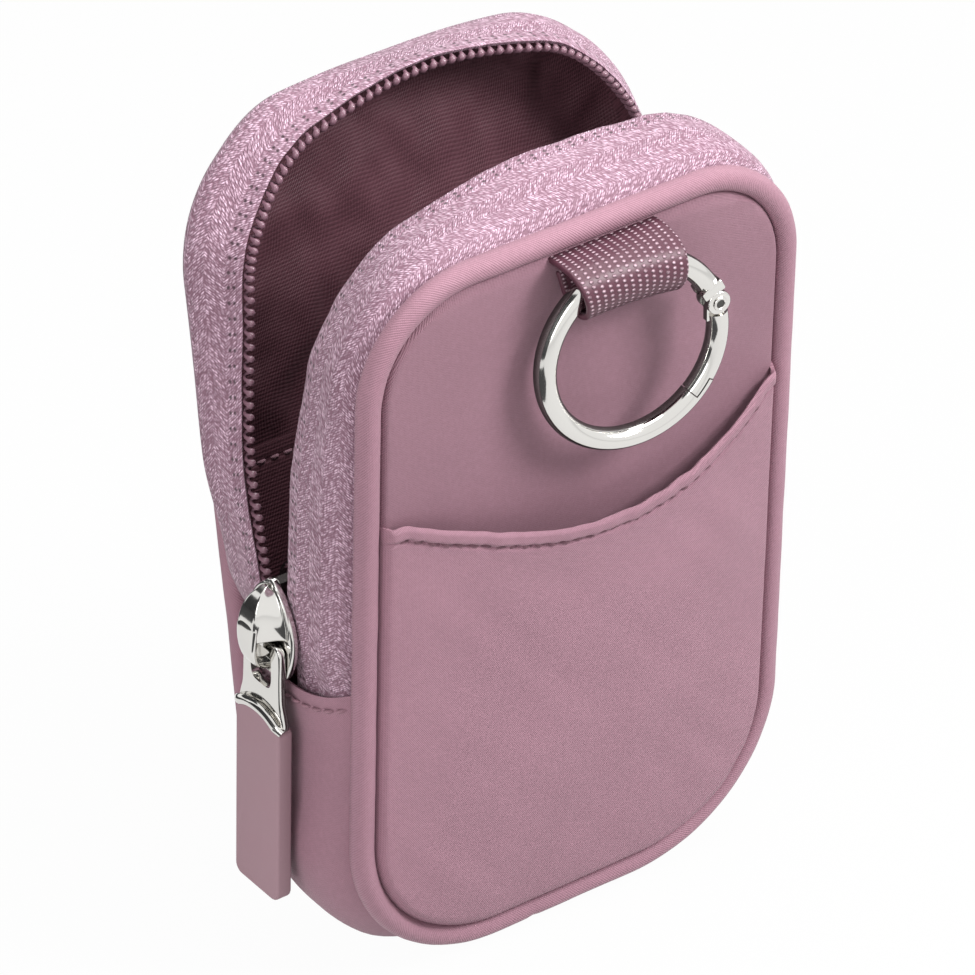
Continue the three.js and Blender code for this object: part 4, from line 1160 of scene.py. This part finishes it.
share = np.linspace(0, 1, 25)[None, :]
stations = cradle(ZIP_FOOT + 1)
height = stations[:, 1][:, None]
depth = -12.6 + share * (back_seam(height) - 1.1 + 12.6)
lift = -1.5 - 1.6 * np.abs(2 * share - 1) ** 4
spots = swept(stations, lift, depth)
lift = lift - 0.5 * np.abs(crumple(spots, (7, 7, 9), 33.0))
gusset_lining = cloth("gusset_lining_cloth", swept(stations, lift, depth))
modified(gusset_lining, "SOLIDIFY", thickness=0.3 * MM, offset=0)
dressed(smoothed(gusset_lining, 70), lining_cloth, "pouch", ["gusset_lining"])

# %% [markdown]
# ## The inner pocket
# A slip pocket is sewn to the lining of the back. Its mouth is hemmed and bags forward a little. It runs
# past the hinge too, so it is bent like the back.

# %% Sew the inner pocket
INNER_MOUTH = 73.0
INNER_HEM = 2.4
INNER_HALF = 36.4


def inner_depth(x, z):
    """How far forward of the back lining the inner pocket stands, upright."""
    middle = 1 - (x / INNER_HALF) ** 2
    below = INNER_MOUTH - z
    bag = 0.9 * middle * np.exp(-np.maximum(below, 0) / 16)
    groove = 0.25 * np.exp(-((below - INNER_HEM) / 0.45) ** 2)
    points = np.stack([x, np.zeros_like(x), z], axis=-1)
    return 12.7 - bag + groove - 0.45 * crumple(points, (12, 12, 20), 41.0)


x = INNER_HALF * np.sin(np.linspace(-math.pi / 2, math.pi / 2, 91))
low = base_line(x, HALF_WIDTH - INNER_HALF)
share = np.concatenate([np.linspace(0, 0.88, 40)[:-1], np.linspace(0.88, 1, 24)])[:, None]
z = low + share * (INNER_MOUTH - low)
x = np.broadcast_to(x, z.shape)
grid = np.stack([x, inner_depth(x, z), z], axis=2)
inner_pocket = cloth("inner_pocket_cloth", bent(grid), np.stack([x, z], axis=2))
modified(inner_pocket, "SOLIDIFY", thickness=0.5 * MM, offset=0)
dressed(smoothed(inner_pocket, 70), lining_cloth, None, ["inner_pocket", "inner_pocket_lower"])
declared_sheet(inner_pocket, bent(grid), (2 * INNER_HALF, INNER_MOUTH))
x = np.linspace(-35.0, 35.0, 120)
z = np.full(120, INNER_MOUTH - INNER_HEM)
line = leaned(np.stack([x, inner_depth(x, z) - 0.3, z], axis=1))
seam_out = (0, -math.cos(OPEN_ANGLE), math.sin(OPEN_ANGLE))
dressed(stitches("inner_pocket_stitches", line, seam_out, 2.3), thread_finish, "back_half")

# %% [markdown]
# ## The webbing loop
# A short length of webbing is folded over the ring and both ends are caught in the seam under the top
# piping. It is a band swept along a bent line, seen from the side: forward from the seam, round the bar of
# the ring and back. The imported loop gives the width, and the axis of the ring gives the place of the bend.

# %% Fold the webbing loop
loop_low, loop_high = (np.array(corner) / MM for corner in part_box("webbing_loop"))
ring_joint = next(joint for joint in frame["joints"] if joint["name"] == "ring_swing")
ring_axis = np.array(ring_joint["pos_m"]) / MM
LOOP_WRAP = 3.35
LOOP_MIDDLE = (float(ring_axis[1]) + 0.15, float(ring_axis[2]) + 0.35)
turns = np.radians(np.arange(96, 286, 6))
nose = np.array(LOOP_MIDDLE) + LOOP_WRAP * np.stack([np.cos(turns), np.sin(turns)], axis=1)
nose[:, 1] -= 0.35 * (1 - np.sin(turns))
route = np.vstack([
    [[-15.0, 114.7], [-16.3, 114.8], [-17.6, 114.95], [-19.0, 115.1]],
    nose,
    [[-18.6, 108.9], [-18.0, 110.2], [-17.8, 111.8], [-17.6, 113.6]],
])
across = np.linspace(loop_low[0] - 0.6, loop_high[0] + 0.4, 41)
half = (across[-1] - across[0]) / 2
offset = (across - across.mean()) / half
forward = np.clip((-17.5 - route[:, 0]) / 4, 0, 1)
fallen = np.clip((route[:, 1].max() - route[:, 1]) / 8, 0, 1)
askew = (1 - fallen)[:, None] * (-2.0 + 0.7 * (offset + 1)) - 0.75 * fallen[:, None] * (offset + 1)
grid = np.zeros((len(route), len(across), 3))
grid[..., 0] = across + askew
grid[..., 1] = route[:, 0][:, None]
grid[..., 2] = route[:, 1][:, None] - forward[:, None] * (0.5 * offset ** 2 - 0.2 + 0.5 * (offset + 1))
webbing = cloth("webbing_band", grid)
modified(webbing, "SOLIDIFY", thickness=0.85 * MM, offset=0)
modified(webbing, "BEVEL", width=0.25 * MM, segments=2, limit_method="ANGLE", angle_limit=math.radians(50))
dressed(smoothed(cleaned(webbing), 50), webbing_finish, "pouch", ["webbing_loop"])

# %% [markdown]
# ## The spring ring
# The ring is a polished nickel bar bent into a circle, with a sprung gate on its right side. A round
# section is added as a filled face and spun about the middle of the ring. The gate is spun the same way, and
# its tongue is let into a slot in the frame at the rivet. The spring lies in the end of the frame beside it.

# %% Helpers for metal


def added(name):
    """Name the primitive that was just added, and apply its place to its mesh."""
    piece = bpy.context.view_layer.objects.active
    piece.name = name
    piece.data.name = name
    bpy.ops.object.transform_apply(location=True, rotation=True, scale=True)
    return piece


def combined(piece, tool, operation):
    """A boolean with another shape, which is then removed."""
    modified(piece, "BOOLEAN", operation=operation, object=tool, solver="EXACT")
    bpy.data.objects.remove(tool)
    return piece


def add_box(name, low, high):
    """A box between two corners in millimetres, ready to be shaped."""
    low, high = np.array(low, float), np.array(high, float)
    bpy.ops.object.select_all(action="DESELECT")
    bpy.ops.mesh.primitive_cube_add(size=1, location=tuple((low + high) / 2 * MM))
    bpy.context.object.scale = tuple((high - low) * MM)
    return added(name)


def add_drum(name, centre, radius, length, axis="Y", sides=40):
    """A round bar of the given length along an axis, ready to be shaped."""
    turned = {"X": (0, math.pi / 2, 0), "Y": (math.pi / 2, 0, 0), "Z": (0, 0, 0)}[axis]
    bpy.ops.object.select_all(action="DESELECT")
    bpy.ops.mesh.primitive_cylinder_add(
        vertices=sides, radius=radius * MM, depth=length * MM,
        location=tuple(np.array(centre) * MM), rotation=turned,
    )
    return added(name)


ring_low, ring_high = (np.array(corner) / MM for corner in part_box("ring_frame"))
RING_BAR = 1.62
RING_RADIUS = 13.85
RING_X = float(ring_axis[0])
RING_Y = float(ring_axis[1]) - 0.4
RING_Z = float(ring_axis[2]) + 1.6 - RING_RADIUS
RING_TILT = math.radians(3)
RING_TURN = math.radians(-7)
GATE_PIVOT = 18.0
NOSE_IN = -46.0
NOSE_OUT = -33.0
print("ring box", ring_low.round(2), ring_high.round(2))


def ring_point(angle, radius=RING_RADIUS):
    """A point on the middle line of the ring, at an angle in degrees from +X."""
    turn = math.radians(angle)
    return np.array([RING_X + radius * math.cos(turn), RING_Y, RING_Z + radius * math.sin(turn)])


def spun(name, section, start, end):
    """A section of (outward, depth) points, spun about the middle of the ring between two angles."""
    turn = math.radians(start)
    points = []
    for outward, depth in section:
        reach = RING_RADIUS + outward
        points.append(((RING_X + reach * math.cos(turn)) * MM, (RING_Y + depth) * MM,
                       (RING_Z + reach * math.sin(turn)) * MM))
    mesh = bpy.data.meshes.new(name)
    mesh.from_pydata(points, [], [list(range(len(points)))])
    piece = bpy.data.objects.new(name, mesh)
    bpy.context.scene.collection.objects.link(piece)
    select_only(piece)
    bpy.ops.object.mode_set(mode="EDIT")
    bpy.ops.mesh.select_all(action="SELECT")
    bpy.ops.mesh.spin(
        steps=max(6, int(abs(end - start) / 2.5)), angle=math.radians(end - start), dupli=False,
        center=(RING_X * MM, RING_Y * MM, RING_Z * MM), axis=(0, 1, 0),
    )
    bpy.ops.object.mode_set(mode="OBJECT")
    return cleaned(piece)


def bar_section(bar):
    """A round section, a little deeper than it is wide, as a pressed bar is."""
    turns = np.linspace(0, 2 * math.pi, 33)[:-1]
    return [(bar * math.cos(turn), 1.06 * bar * math.sin(turn)) for turn in turns]


def block_section(low, high, half):
    """A rectangular section, used for the clevis and for cutting steps."""
    return [(low, -half), (high, -half), (high, half), (low, half)]


def hung(piece):
    """Turn a finished part of the ring about the bar in the loop: it stands off the panel, a little askew."""
    bar = Matrix.Translation(Vector((RING_X * MM, RING_Y * MM, (RING_Z + RING_RADIUS) * MM)))
    turn = Matrix.Rotation(RING_TURN, 4, "Z") @ Matrix.Rotation(-RING_TILT, 4, "X")
    piece.data.transform(bar @ turn @ bar.inverted())
    return piece


# %% Bend the frame of the ring
pivot = ring_point(GATE_PIVOT)
frame_bar = spun("ring_bar", bar_section(RING_BAR), GATE_PIVOT + 5, 360 + NOSE_OUT)
combined(frame_bar, spun("step", block_section(-3, 0.1, 3), 360 + NOSE_IN, 363 + NOSE_OUT), "DIFFERENCE")
clevis = spun("clevis", block_section(-1.75, 1.75, 1.78), GATE_PIVOT + 6.5, GATE_PIVOT + 13)
modified(clevis, "BEVEL", width=0.5 * MM, segments=3, limit_method="ANGLE")
combined(frame_bar, clevis, "UNION")
ear = add_drum("ear", pivot, 1.8, 2 * RING_BAR + 0.3)
modified(ear, "BEVEL", width=0.25 * MM, segments=3, limit_method="ANGLE")
combined(frame_bar, ear, "UNION")
slot_low, slot_high = pivot - np.array([3.0, 0.62, 3.0]), pivot + np.array([3.0, 0.62, 1.9])
combined(frame_bar, add_box("slot", slot_low, slot_high), "DIFFERENCE")
dressed(hung(smoothed(cleaned(frame_bar, 0.002), 35)), nickel, "ring", ["ring_frame"])
print("ring frame has", len(frame_bar.data.edges), "edges")

# %% Hang the gate
gate_bar = spun("gate_bar", bar_section(RING_BAR * 0.97), NOSE_IN + 0.7, GATE_PIVOT - 9)
combined(gate_bar, spun("step", block_section(-0.1, 3, 3), NOSE_IN - 2, NOSE_OUT + 0.7), "DIFFERENCE")
tongue = add_box("tongue", pivot - np.array([1.3, 0.5, 3.2]), pivot + np.array([1.3, 0.5, 0.3]))
combined(gate_bar, tongue, "UNION")
combined(gate_bar, add_drum("tongue_end", pivot, 1.2, 1.0), "UNION")
dressed(hung(smoothed(cleaned(gate_bar, 0.002), 35)), nickel, "gate", ["ring_gate"])

# %% Set the hollow rivet and the spring
rivet = add_drum("gate_rivet", pivot, 1.08, 2 * RING_BAR + 1.0)
combined(rivet, add_drum("bore", pivot - np.array([0, RING_BAR + 0.2, 0]), 0.6, 1.6, sides=24), "DIFFERENCE")
modified(rivet, "BEVEL", width=0.22 * MM, segments=3, limit_method="ANGLE", angle_limit=math.radians(50))
dressed(hung(smoothed(cleaned(rivet, 0.002))), nickel, "ring", ["gate_pin"])
# A dark metal plug sits in the bore of the hollow rivet: painted shade for the inside of the bore.
bore_shade_core = add_drum("rivet_bore_shade", pivot - np.array([0, RING_BAR, 0]), 0.58, 0.7, sides=24)
modified(bore_shade_core, "BEVEL", width=0.1 * MM, segments=2, limit_method="ANGLE")
dressed(hung(smoothed(bore_shade_core)), dark_steel_and_shade, "ring")

SPRING_COIL = 0.42
SPRING_WIRE = 0.125
turn = np.linspace(0, 16 * math.pi, 129)
reach = RING_RADIUS + SPRING_COIL * np.cos(turn)
angle = np.radians(np.linspace(GATE_PIVOT + 8, GATE_PIVOT + 23, 129))
wire = np.stack([
    RING_X + reach * np.cos(angle), RING_Y + SPRING_COIL * np.sin(turn), RING_Z + reach * np.sin(angle),
], axis=1)
out = np.stack([np.cos(angle), 0 * angle, np.sin(angle)], axis=1)
spring = cleaned(cloth("gate_spring_wire", wire_rings(wire, out, SPRING_WIRE), tube=True))
dressed(hung(smoothed(spring, 80)), dark_steel_and_shade, "ring", ["gate_spring"])

# %% [markdown]
# ## The slider
# The slider is a small cast piece in polished nickel: a shield-shaped plate outside the zip, a second plate
# inside it, a neck that parts the two coils, and a leaf-shaped hood with a leg that the pull hangs on. Its
# plates are extruded from their outlines. The hood and the leg are lofted strips, because their sides are
# hollowed like a spoon, which an extrusion can't give.

# %% Cast the slider
PLATE_OUT = -HALF_WIDTH - 3.6
PLATE_IN = -HALF_WIDTH - 2.4


def rounded_outline(half, count=64):
    """A smooth closed outline from one half of a shape, listed from the tip down to the foot."""
    half = np.array(half, float)
    ring = np.vstack([half, half[-2:0:-1] * [-1, 1]])
    ring = np.vstack([ring, ring[:1]])
    run = np.arange(len(ring))
    fine = np.linspace(0, len(ring) - 1, count + 1)[:-1]
    before = np.roll(ring[:-1], 1, axis=0)
    after = np.roll(ring[:-1], -1, axis=0)
    slope = np.vstack([(after - before) / 2, ((after - before) / 2)[:1]])
    low = np.floor(fine).astype(int)
    part = (fine - low)[:, None]
    return (
        (2 * part ** 3 - 3 * part ** 2 + 1) * ring[low] + (part ** 3 - 2 * part ** 2 + part) * slope[low]
        + (3 * part ** 2 - 2 * part ** 3) * ring[low + 1] + (part ** 3 - part ** 2) * slope[low + 1]
    )


def plate(name, outline, x_from, x_to, bevel):
    """A flat plate from an outline of (y, z) points, extruded along X and with its rims rounded."""
    mesh = bpy.data.meshes.new(name)
    points = [(x_from * MM, y * MM, z * MM) for y, z in outline]
    mesh.from_pydata(points, [], [list(range(len(points)))])
    piece = bpy.data.objects.new(name, mesh)
    bpy.context.scene.collection.objects.link(piece)
    select_only(piece)
    bpy.ops.object.mode_set(mode="EDIT")
    bpy.ops.mesh.select_all(action="SELECT")
    bpy.ops.mesh.extrude_region_move(TRANSFORM_OT_translate={"value": ((x_to - x_from) * MM, 0, 0)})
    bpy.ops.mesh.select_all(action="SELECT")
    bpy.ops.mesh.normals_make_consistent(inside=False)
    bpy.ops.object.mode_set(mode="OBJECT")
    modified(piece, "BEVEL", width=bevel * MM, segments=3, limit_method="ANGLE", angle_limit=math.radians(50))
    return piece


shield = rounded_outline([
    (0, 66.4), (1.5, 65.4), (3.4, 63.0), (4.9, 60.2), (5.45, 57.4), (5.2, 54.8), (4.5, 52.6), (3.4, 50.9),
    (0, 50.4),
])
slider = plate("slider_nickel", shield, PLATE_IN, PLATE_OUT, 0.35)
inner_shield = rounded_outline([
    (0, 66.2), (2.4, 66.0), (4.2, 64.4), (4.9, 61.0), (4.9, 56.0), (4.2, 52.0), (2.6, 50.7), (0, 50.5),
])
combined(slider, plate("inner_plate", inner_shield, -HALF_WIDTH + 2.5, -HALF_WIDTH + 1.3, 0.3), "UNION")
neck = add_box("neck", (PLATE_IN - 0.3, -0.85, 62.4), (-HALF_WIDTH + 1.6, 0.85, 65.6))
combined(slider, neck, "UNION")

# %% Raise the hood of the slider
HOOD_UP = np.array([65.8, 65.4, 64.5, 63.0, 61.2, 59.4, 57.9])
HOOD_OUT = np.array([0.4, 1.5, 2.8, 3.7, 4.15, 4.3, 4.3])
HOOD_HALF = np.array([0.5, 1.5, 2.7, 3.8, 4.5, 4.8, 4.7])
side_share = np.linspace(-1, 1, 21)
fall = np.clip((1 - np.abs(side_share)) / 0.54, 0, 1) ** 2.3
rim = 0.3 * np.exp(-((1 - np.abs(side_share)) / 0.09) ** 2)
hood = np.zeros((len(HOOD_UP), 21, 3))
hood[..., 0] = PLATE_OUT - HOOD_OUT[:, None] * fall - rim + 0.1
hood[..., 1] = HOOD_HALF[:, None] * side_share
hood[..., 2] = HOOD_UP[:, None] - 0.5 * (1 - fall) * (HOOD_UP[:, None] > 60)
hood_shell = faced_from(cloth("hood", hood), (0, 0, 57))
modified(hood_shell, "SOLIDIFY", thickness=0.6 * MM, offset=-1)
modified(hood_shell, "SUBSURF", levels=2, render_levels=2)

LEG_OUT = np.array([3.9, 4.3, 4.42, 4.4, 4.25, 3.8, 2.95, 1.8, 0.6, -0.4])
LEG_UP = np.array([61.2, 60.0, 58.5, 57.0, 55.6, 54.2, 53.1, 52.3, 51.9, 51.8])
LEG_HALF = np.array([2.1, 2.35, 2.35, 2.2, 1.95, 1.65, 1.45, 1.3, 1.25, 1.25])
side_share = np.linspace(-1, 1, 9)
leg = np.zeros((len(LEG_OUT), 9, 3))
leg[..., 0] = PLATE_OUT - LEG_OUT[:, None] + 0.35 * side_share ** 4
leg[..., 1] = LEG_HALF[:, None] * side_share
leg[..., 2] = LEG_UP[:, None]
leg_strip = faced_from(cloth("leg", leg), (0, 0, 57))
modified(leg_strip, "SOLIDIFY", thickness=0.85 * MM, offset=-1)
modified(leg_strip, "SUBSURF", levels=2, render_levels=2)
select_only(hood_shell)
leg_strip.select_set(True)
slider.select_set(True)
bpy.context.view_layer.objects.active = slider
bpy.ops.object.join()
dressed(smoothed(slider, 35), nickel, "slider", ["zip_slider"])

# %% [markdown]
# ## The pull
# The pull is a nickel link with a window, which hangs on the leg of the slider, and a bare silicone grip
# moulded onto its lower end. The link widens into a collar whose lower edge arches over the grip. The
# window is cut with a rounded plug, as a punch would cut it.

# %% Punch the link of the pull
tab_high = np.array(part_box("pull_tab")[1]) / MM
grip_low, grip_high = (np.array(corner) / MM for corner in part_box("pull_grip"))
PULL_X = float((grip_low[0] + grip_high[0]) / 2) + 0.9
LINK_THICK = 1.25
GRIP_HALF = float(grip_high[1])
GRIP_TOP = float(grip_high[2])
GRIP_FOOT = float(grip_low[2])
LINK_TOP = float(tab_high[2])
COLLAR = GRIP_TOP + 0.9
link_outline = rounded_outline([
    (0, LINK_TOP), (2.8, LINK_TOP), (4.1, LINK_TOP - 0.8), (4.4, LINK_TOP - 2.6), (4.4, 51.5),
    (4.45, COLLAR + 4.2), (4.6, COLLAR + 2.2), (GRIP_HALF - 0.1, COLLAR + 0.3), (GRIP_HALF, COLLAR - 1.4),
    (3.2, COLLAR - 1.8),
    (0, COLLAR - 1.8),
], 88)
link = plate("pull_link", link_outline, PULL_X + LINK_THICK / 2, PULL_X - LINK_THICK / 2, 0.3)
window_outline = rounded_outline([
    (0, LINK_TOP - 1.45), (1.9, LINK_TOP - 1.5), (2.35, LINK_TOP - 2.5), (2.4, 52.5), (2.4, 50.6),
    (1.8, 49.3), (0, 49.1),
], 48)
window = plate("window", window_outline, PULL_X + 2, PULL_X - 2, 0.02)
combined(link, window, "DIFFERENCE")

# %% Form the collar of the link


def collar_ridge(name, high, low, out, bar):
    """A half-round ridge that arches over the grip on its outer face."""
    spread = np.linspace(-1, 1, 33)
    centre = np.stack([
        np.full(33, PULL_X - out) + 0.5 * np.clip(np.abs(spread) - 0.82, 0, 1) / 0.18,
        spread * GRIP_HALF,
        high - (high - low) * np.abs(spread) ** 2.2,
    ], axis=1)
    ahead = np.gradient(centre, axis=0)
    ahead /= np.linalg.norm(ahead, axis=1)[:, None]
    up = np.cross(ahead, (-1.0, 0, 0))
    up /= np.linalg.norm(up, axis=1)[:, None]
    face = np.cross(up, ahead)
    angles = np.linspace(0, 2 * math.pi, 13)[:-1]
    grid = centre[:, None] + bar * (
        np.cos(angles)[None, :, None] * up[:, None] + 0.8 * np.sin(angles)[None, :, None] * face[:, None]
    )
    piece = cloth(name, grid, tube=True)
    select_only(piece)
    bpy.ops.object.mode_set(mode="EDIT")
    bpy.ops.mesh.select_all(action="SELECT")
    bpy.ops.mesh.fill_holes(sides=12)
    bpy.ops.object.mode_set(mode="OBJECT")
    return cleaned(piece)


ridge = collar_ridge("ridge", COLLAR + 0.4, COLLAR - 1.4, 1.2, 0.8)
link.select_set(True)
bpy.context.view_layer.objects.active = link
bpy.ops.object.join()
dressed(smoothed(link, 35), nickel, "pull", ["pull_tab"])

# %% Mould the grip
GRIP_THICK = float(grip_high[0] - grip_low[0])
GRIP_CORNER = 1.6
SHOULDER = COLLAR - 1.9
grip_outline = [(-GRIP_HALF, SHOULDER)]
for side, start in ((-1, 180), (1, 270)):
    for turn in np.radians(np.linspace(start, start + 90, 9)):
        grip_outline.append((
            side * (GRIP_HALF - GRIP_CORNER) + GRIP_CORNER * math.cos(turn),
            GRIP_FOOT + GRIP_CORNER + GRIP_CORNER * math.sin(turn),
        ))
grip_outline.append((GRIP_HALF, SHOULDER))
for spread in np.linspace(1, -1, 13)[1:-1]:
    grip_outline.append((spread * GRIP_HALF, COLLAR - (COLLAR - SHOULDER) * abs(spread) ** 2.2))
grip = plate("grip_silicone", grip_outline, PULL_X + GRIP_THICK / 2, PULL_X - GRIP_THICK / 2, 0.45)
dressed(smoothed(grip, 35), silicone, "pull", ["pull_grip"])

# %% [markdown]
# ## Floor, light and surroundings
# The photograph is a cut-out on white under a large soft lamp from above and the right. The floor and the
# surroundings look white to the camera and to polished metal, and a share of the floor stays a plain matt
# surface, so that it keeps the shadow of the pouch. The lamps are set so that colours come out as written.
# Polished metal needs something dark to reflect, so dark cards stand behind the pouch and lie to its left.
# Only reflections see them.

# %% Lay the floor
bpy.ops.object.select_all(action="DESELECT")
bpy.ops.mesh.primitive_plane_add(size=6, location=(0, 0, 0))
floor = added("floor")
floor_finish, tree, shader = start_material("white_floor")
place = tree.nodes.new("ShaderNodeTexCoord")
change = place_group(tree, drift, Place=place.outputs["Object"], Size=3.0, Fine=200.0)
pale = node_mix(tree, change.outputs["Slow"], (0.5, 0.5, 0.5), (0.54, 0.54, 0.54))
tree.links.new(pale, shader.inputs["Base Color"])
shader.inputs["Roughness"].default_value = 0.9
shader.inputs["Specular IOR Level"].default_value = 0.0
glow = tree.nodes.new("ShaderNodeEmission")
glow.inputs["Strength"].default_value = 1.0
seen = tree.nodes.new("ShaderNodeLightPath")
sees_white = node_math(tree, "MAXIMUM", seen.outputs["Is Camera Ray"], seen.outputs["Is Transmission Ray"])
share = node_math(tree, "MULTIPLY", sees_white, 0.97)
share = node_math(tree, "MULTIPLY_ADD", seen.outputs["Is Glossy Ray"], 0.75, share)
mixed = tree.nodes.new("ShaderNodeMixShader")
tree.links.new(share, mixed.inputs[0])
tree.links.new(shader.outputs[0], mixed.inputs[1])
tree.links.new(glow.outputs[0], mixed.inputs[2])
tree.links.new(mixed.outputs[0], tree.nodes["Material Output"].inputs["Surface"])
floor.data.materials.append(floor_finish)
floor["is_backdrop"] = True
print("floor laid")

# %% Set the dark cards
dark_finish, tree, shader = start_material("dark_card")
shader.inputs["Base Color"].default_value = (0.05, 0.05, 0.052, 1)
shader.inputs["Roughness"].default_value = 1.0
shader.inputs["Specular IOR Level"].default_value = 0.0
for name, size, place, turn in (
    ("card_upright", 0.6, (-0.1, 0.6, 0.45), (math.pi / 2, 0, 0)),
    ("card_flat", 0.6, (-0.25, 0.40, 0.002), (0, 0, 0)),
    ("card_left", 0.2, (-0.19, -0.08, 0.002), (0, 0, 0)),
    ("card_side", 0.7, (-0.45, 0.1, 0.36), (0, math.pi / 2, 0)),
):
    bpy.ops.object.select_all(action="DESELECT")
    bpy.ops.mesh.primitive_plane_add(size=size, location=place, rotation=turn)
    card = added(name)
    card.data.materials.append(dark_finish)
    card.visible_camera = False
    card.visible_diffuse = False
    card.visible_transmission = False
    card.visible_shadow = False
    card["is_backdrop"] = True
print("cards set")

# %% Hang the lamps and the surroundings


def soft_lamp(name, place, size, power):
    """A square soft lamp that faces the middle of the pouch."""
    lamp = bpy.data.objects.new(name, bpy.data.lights.new(name, "AREA"))
    lamp.data.size = size
    lamp.data.energy = power
    bpy.context.scene.collection.objects.link(lamp)
    lamp.location = place
    lamp.rotation_mode = "QUATERNION"
    lamp.rotation_quaternion = (Vector(place) - Vector((0, 0, 0.06))).to_track_quat("Z", "Y")
    return lamp


soft_lamp("lamp_above", (0.12, 0.0, 0.62), 0.4, 2.7)
soft_lamp("lamp_right", (0.32, -0.36, 0.46), 0.22, 3.7)
soft_lamp("lamp_left", (-0.7, -0.25, 0.4), 0.5, 3.3)

world = bpy.data.worlds.new("white_surroundings")
bpy.context.scene.world = world
world.use_nodes = True
tree = world.node_tree
background = tree.nodes["Background"]
background.inputs["Color"].default_value = (1, 1, 1, 1)
seen = tree.nodes.new("ShaderNodeLightPath")
sees_white = node_math(tree, "MAXIMUM", seen.outputs["Is Camera Ray"], seen.outputs["Is Glossy Ray"])
sees_white = node_math(tree, "MAXIMUM", sees_white, seen.outputs["Is Transmission Ray"])
strength = node_math(tree, "MULTIPLY_ADD", sees_white, 0.66, 0.34)
tree.links.new(strength, background.inputs["Strength"])
bpy.context.scene.view_settings.view_transform = "Standard"
print("lamps hung")

# %% [markdown]
# ## Sizes, and the end
# Cloth stands a little proud of the solids. The box of the dressed pouch is printed.

# %% Write the sizes and finish
low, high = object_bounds()
print("dressed box", [round(c, 4) for c in low], [round(c, 4) for c in high])
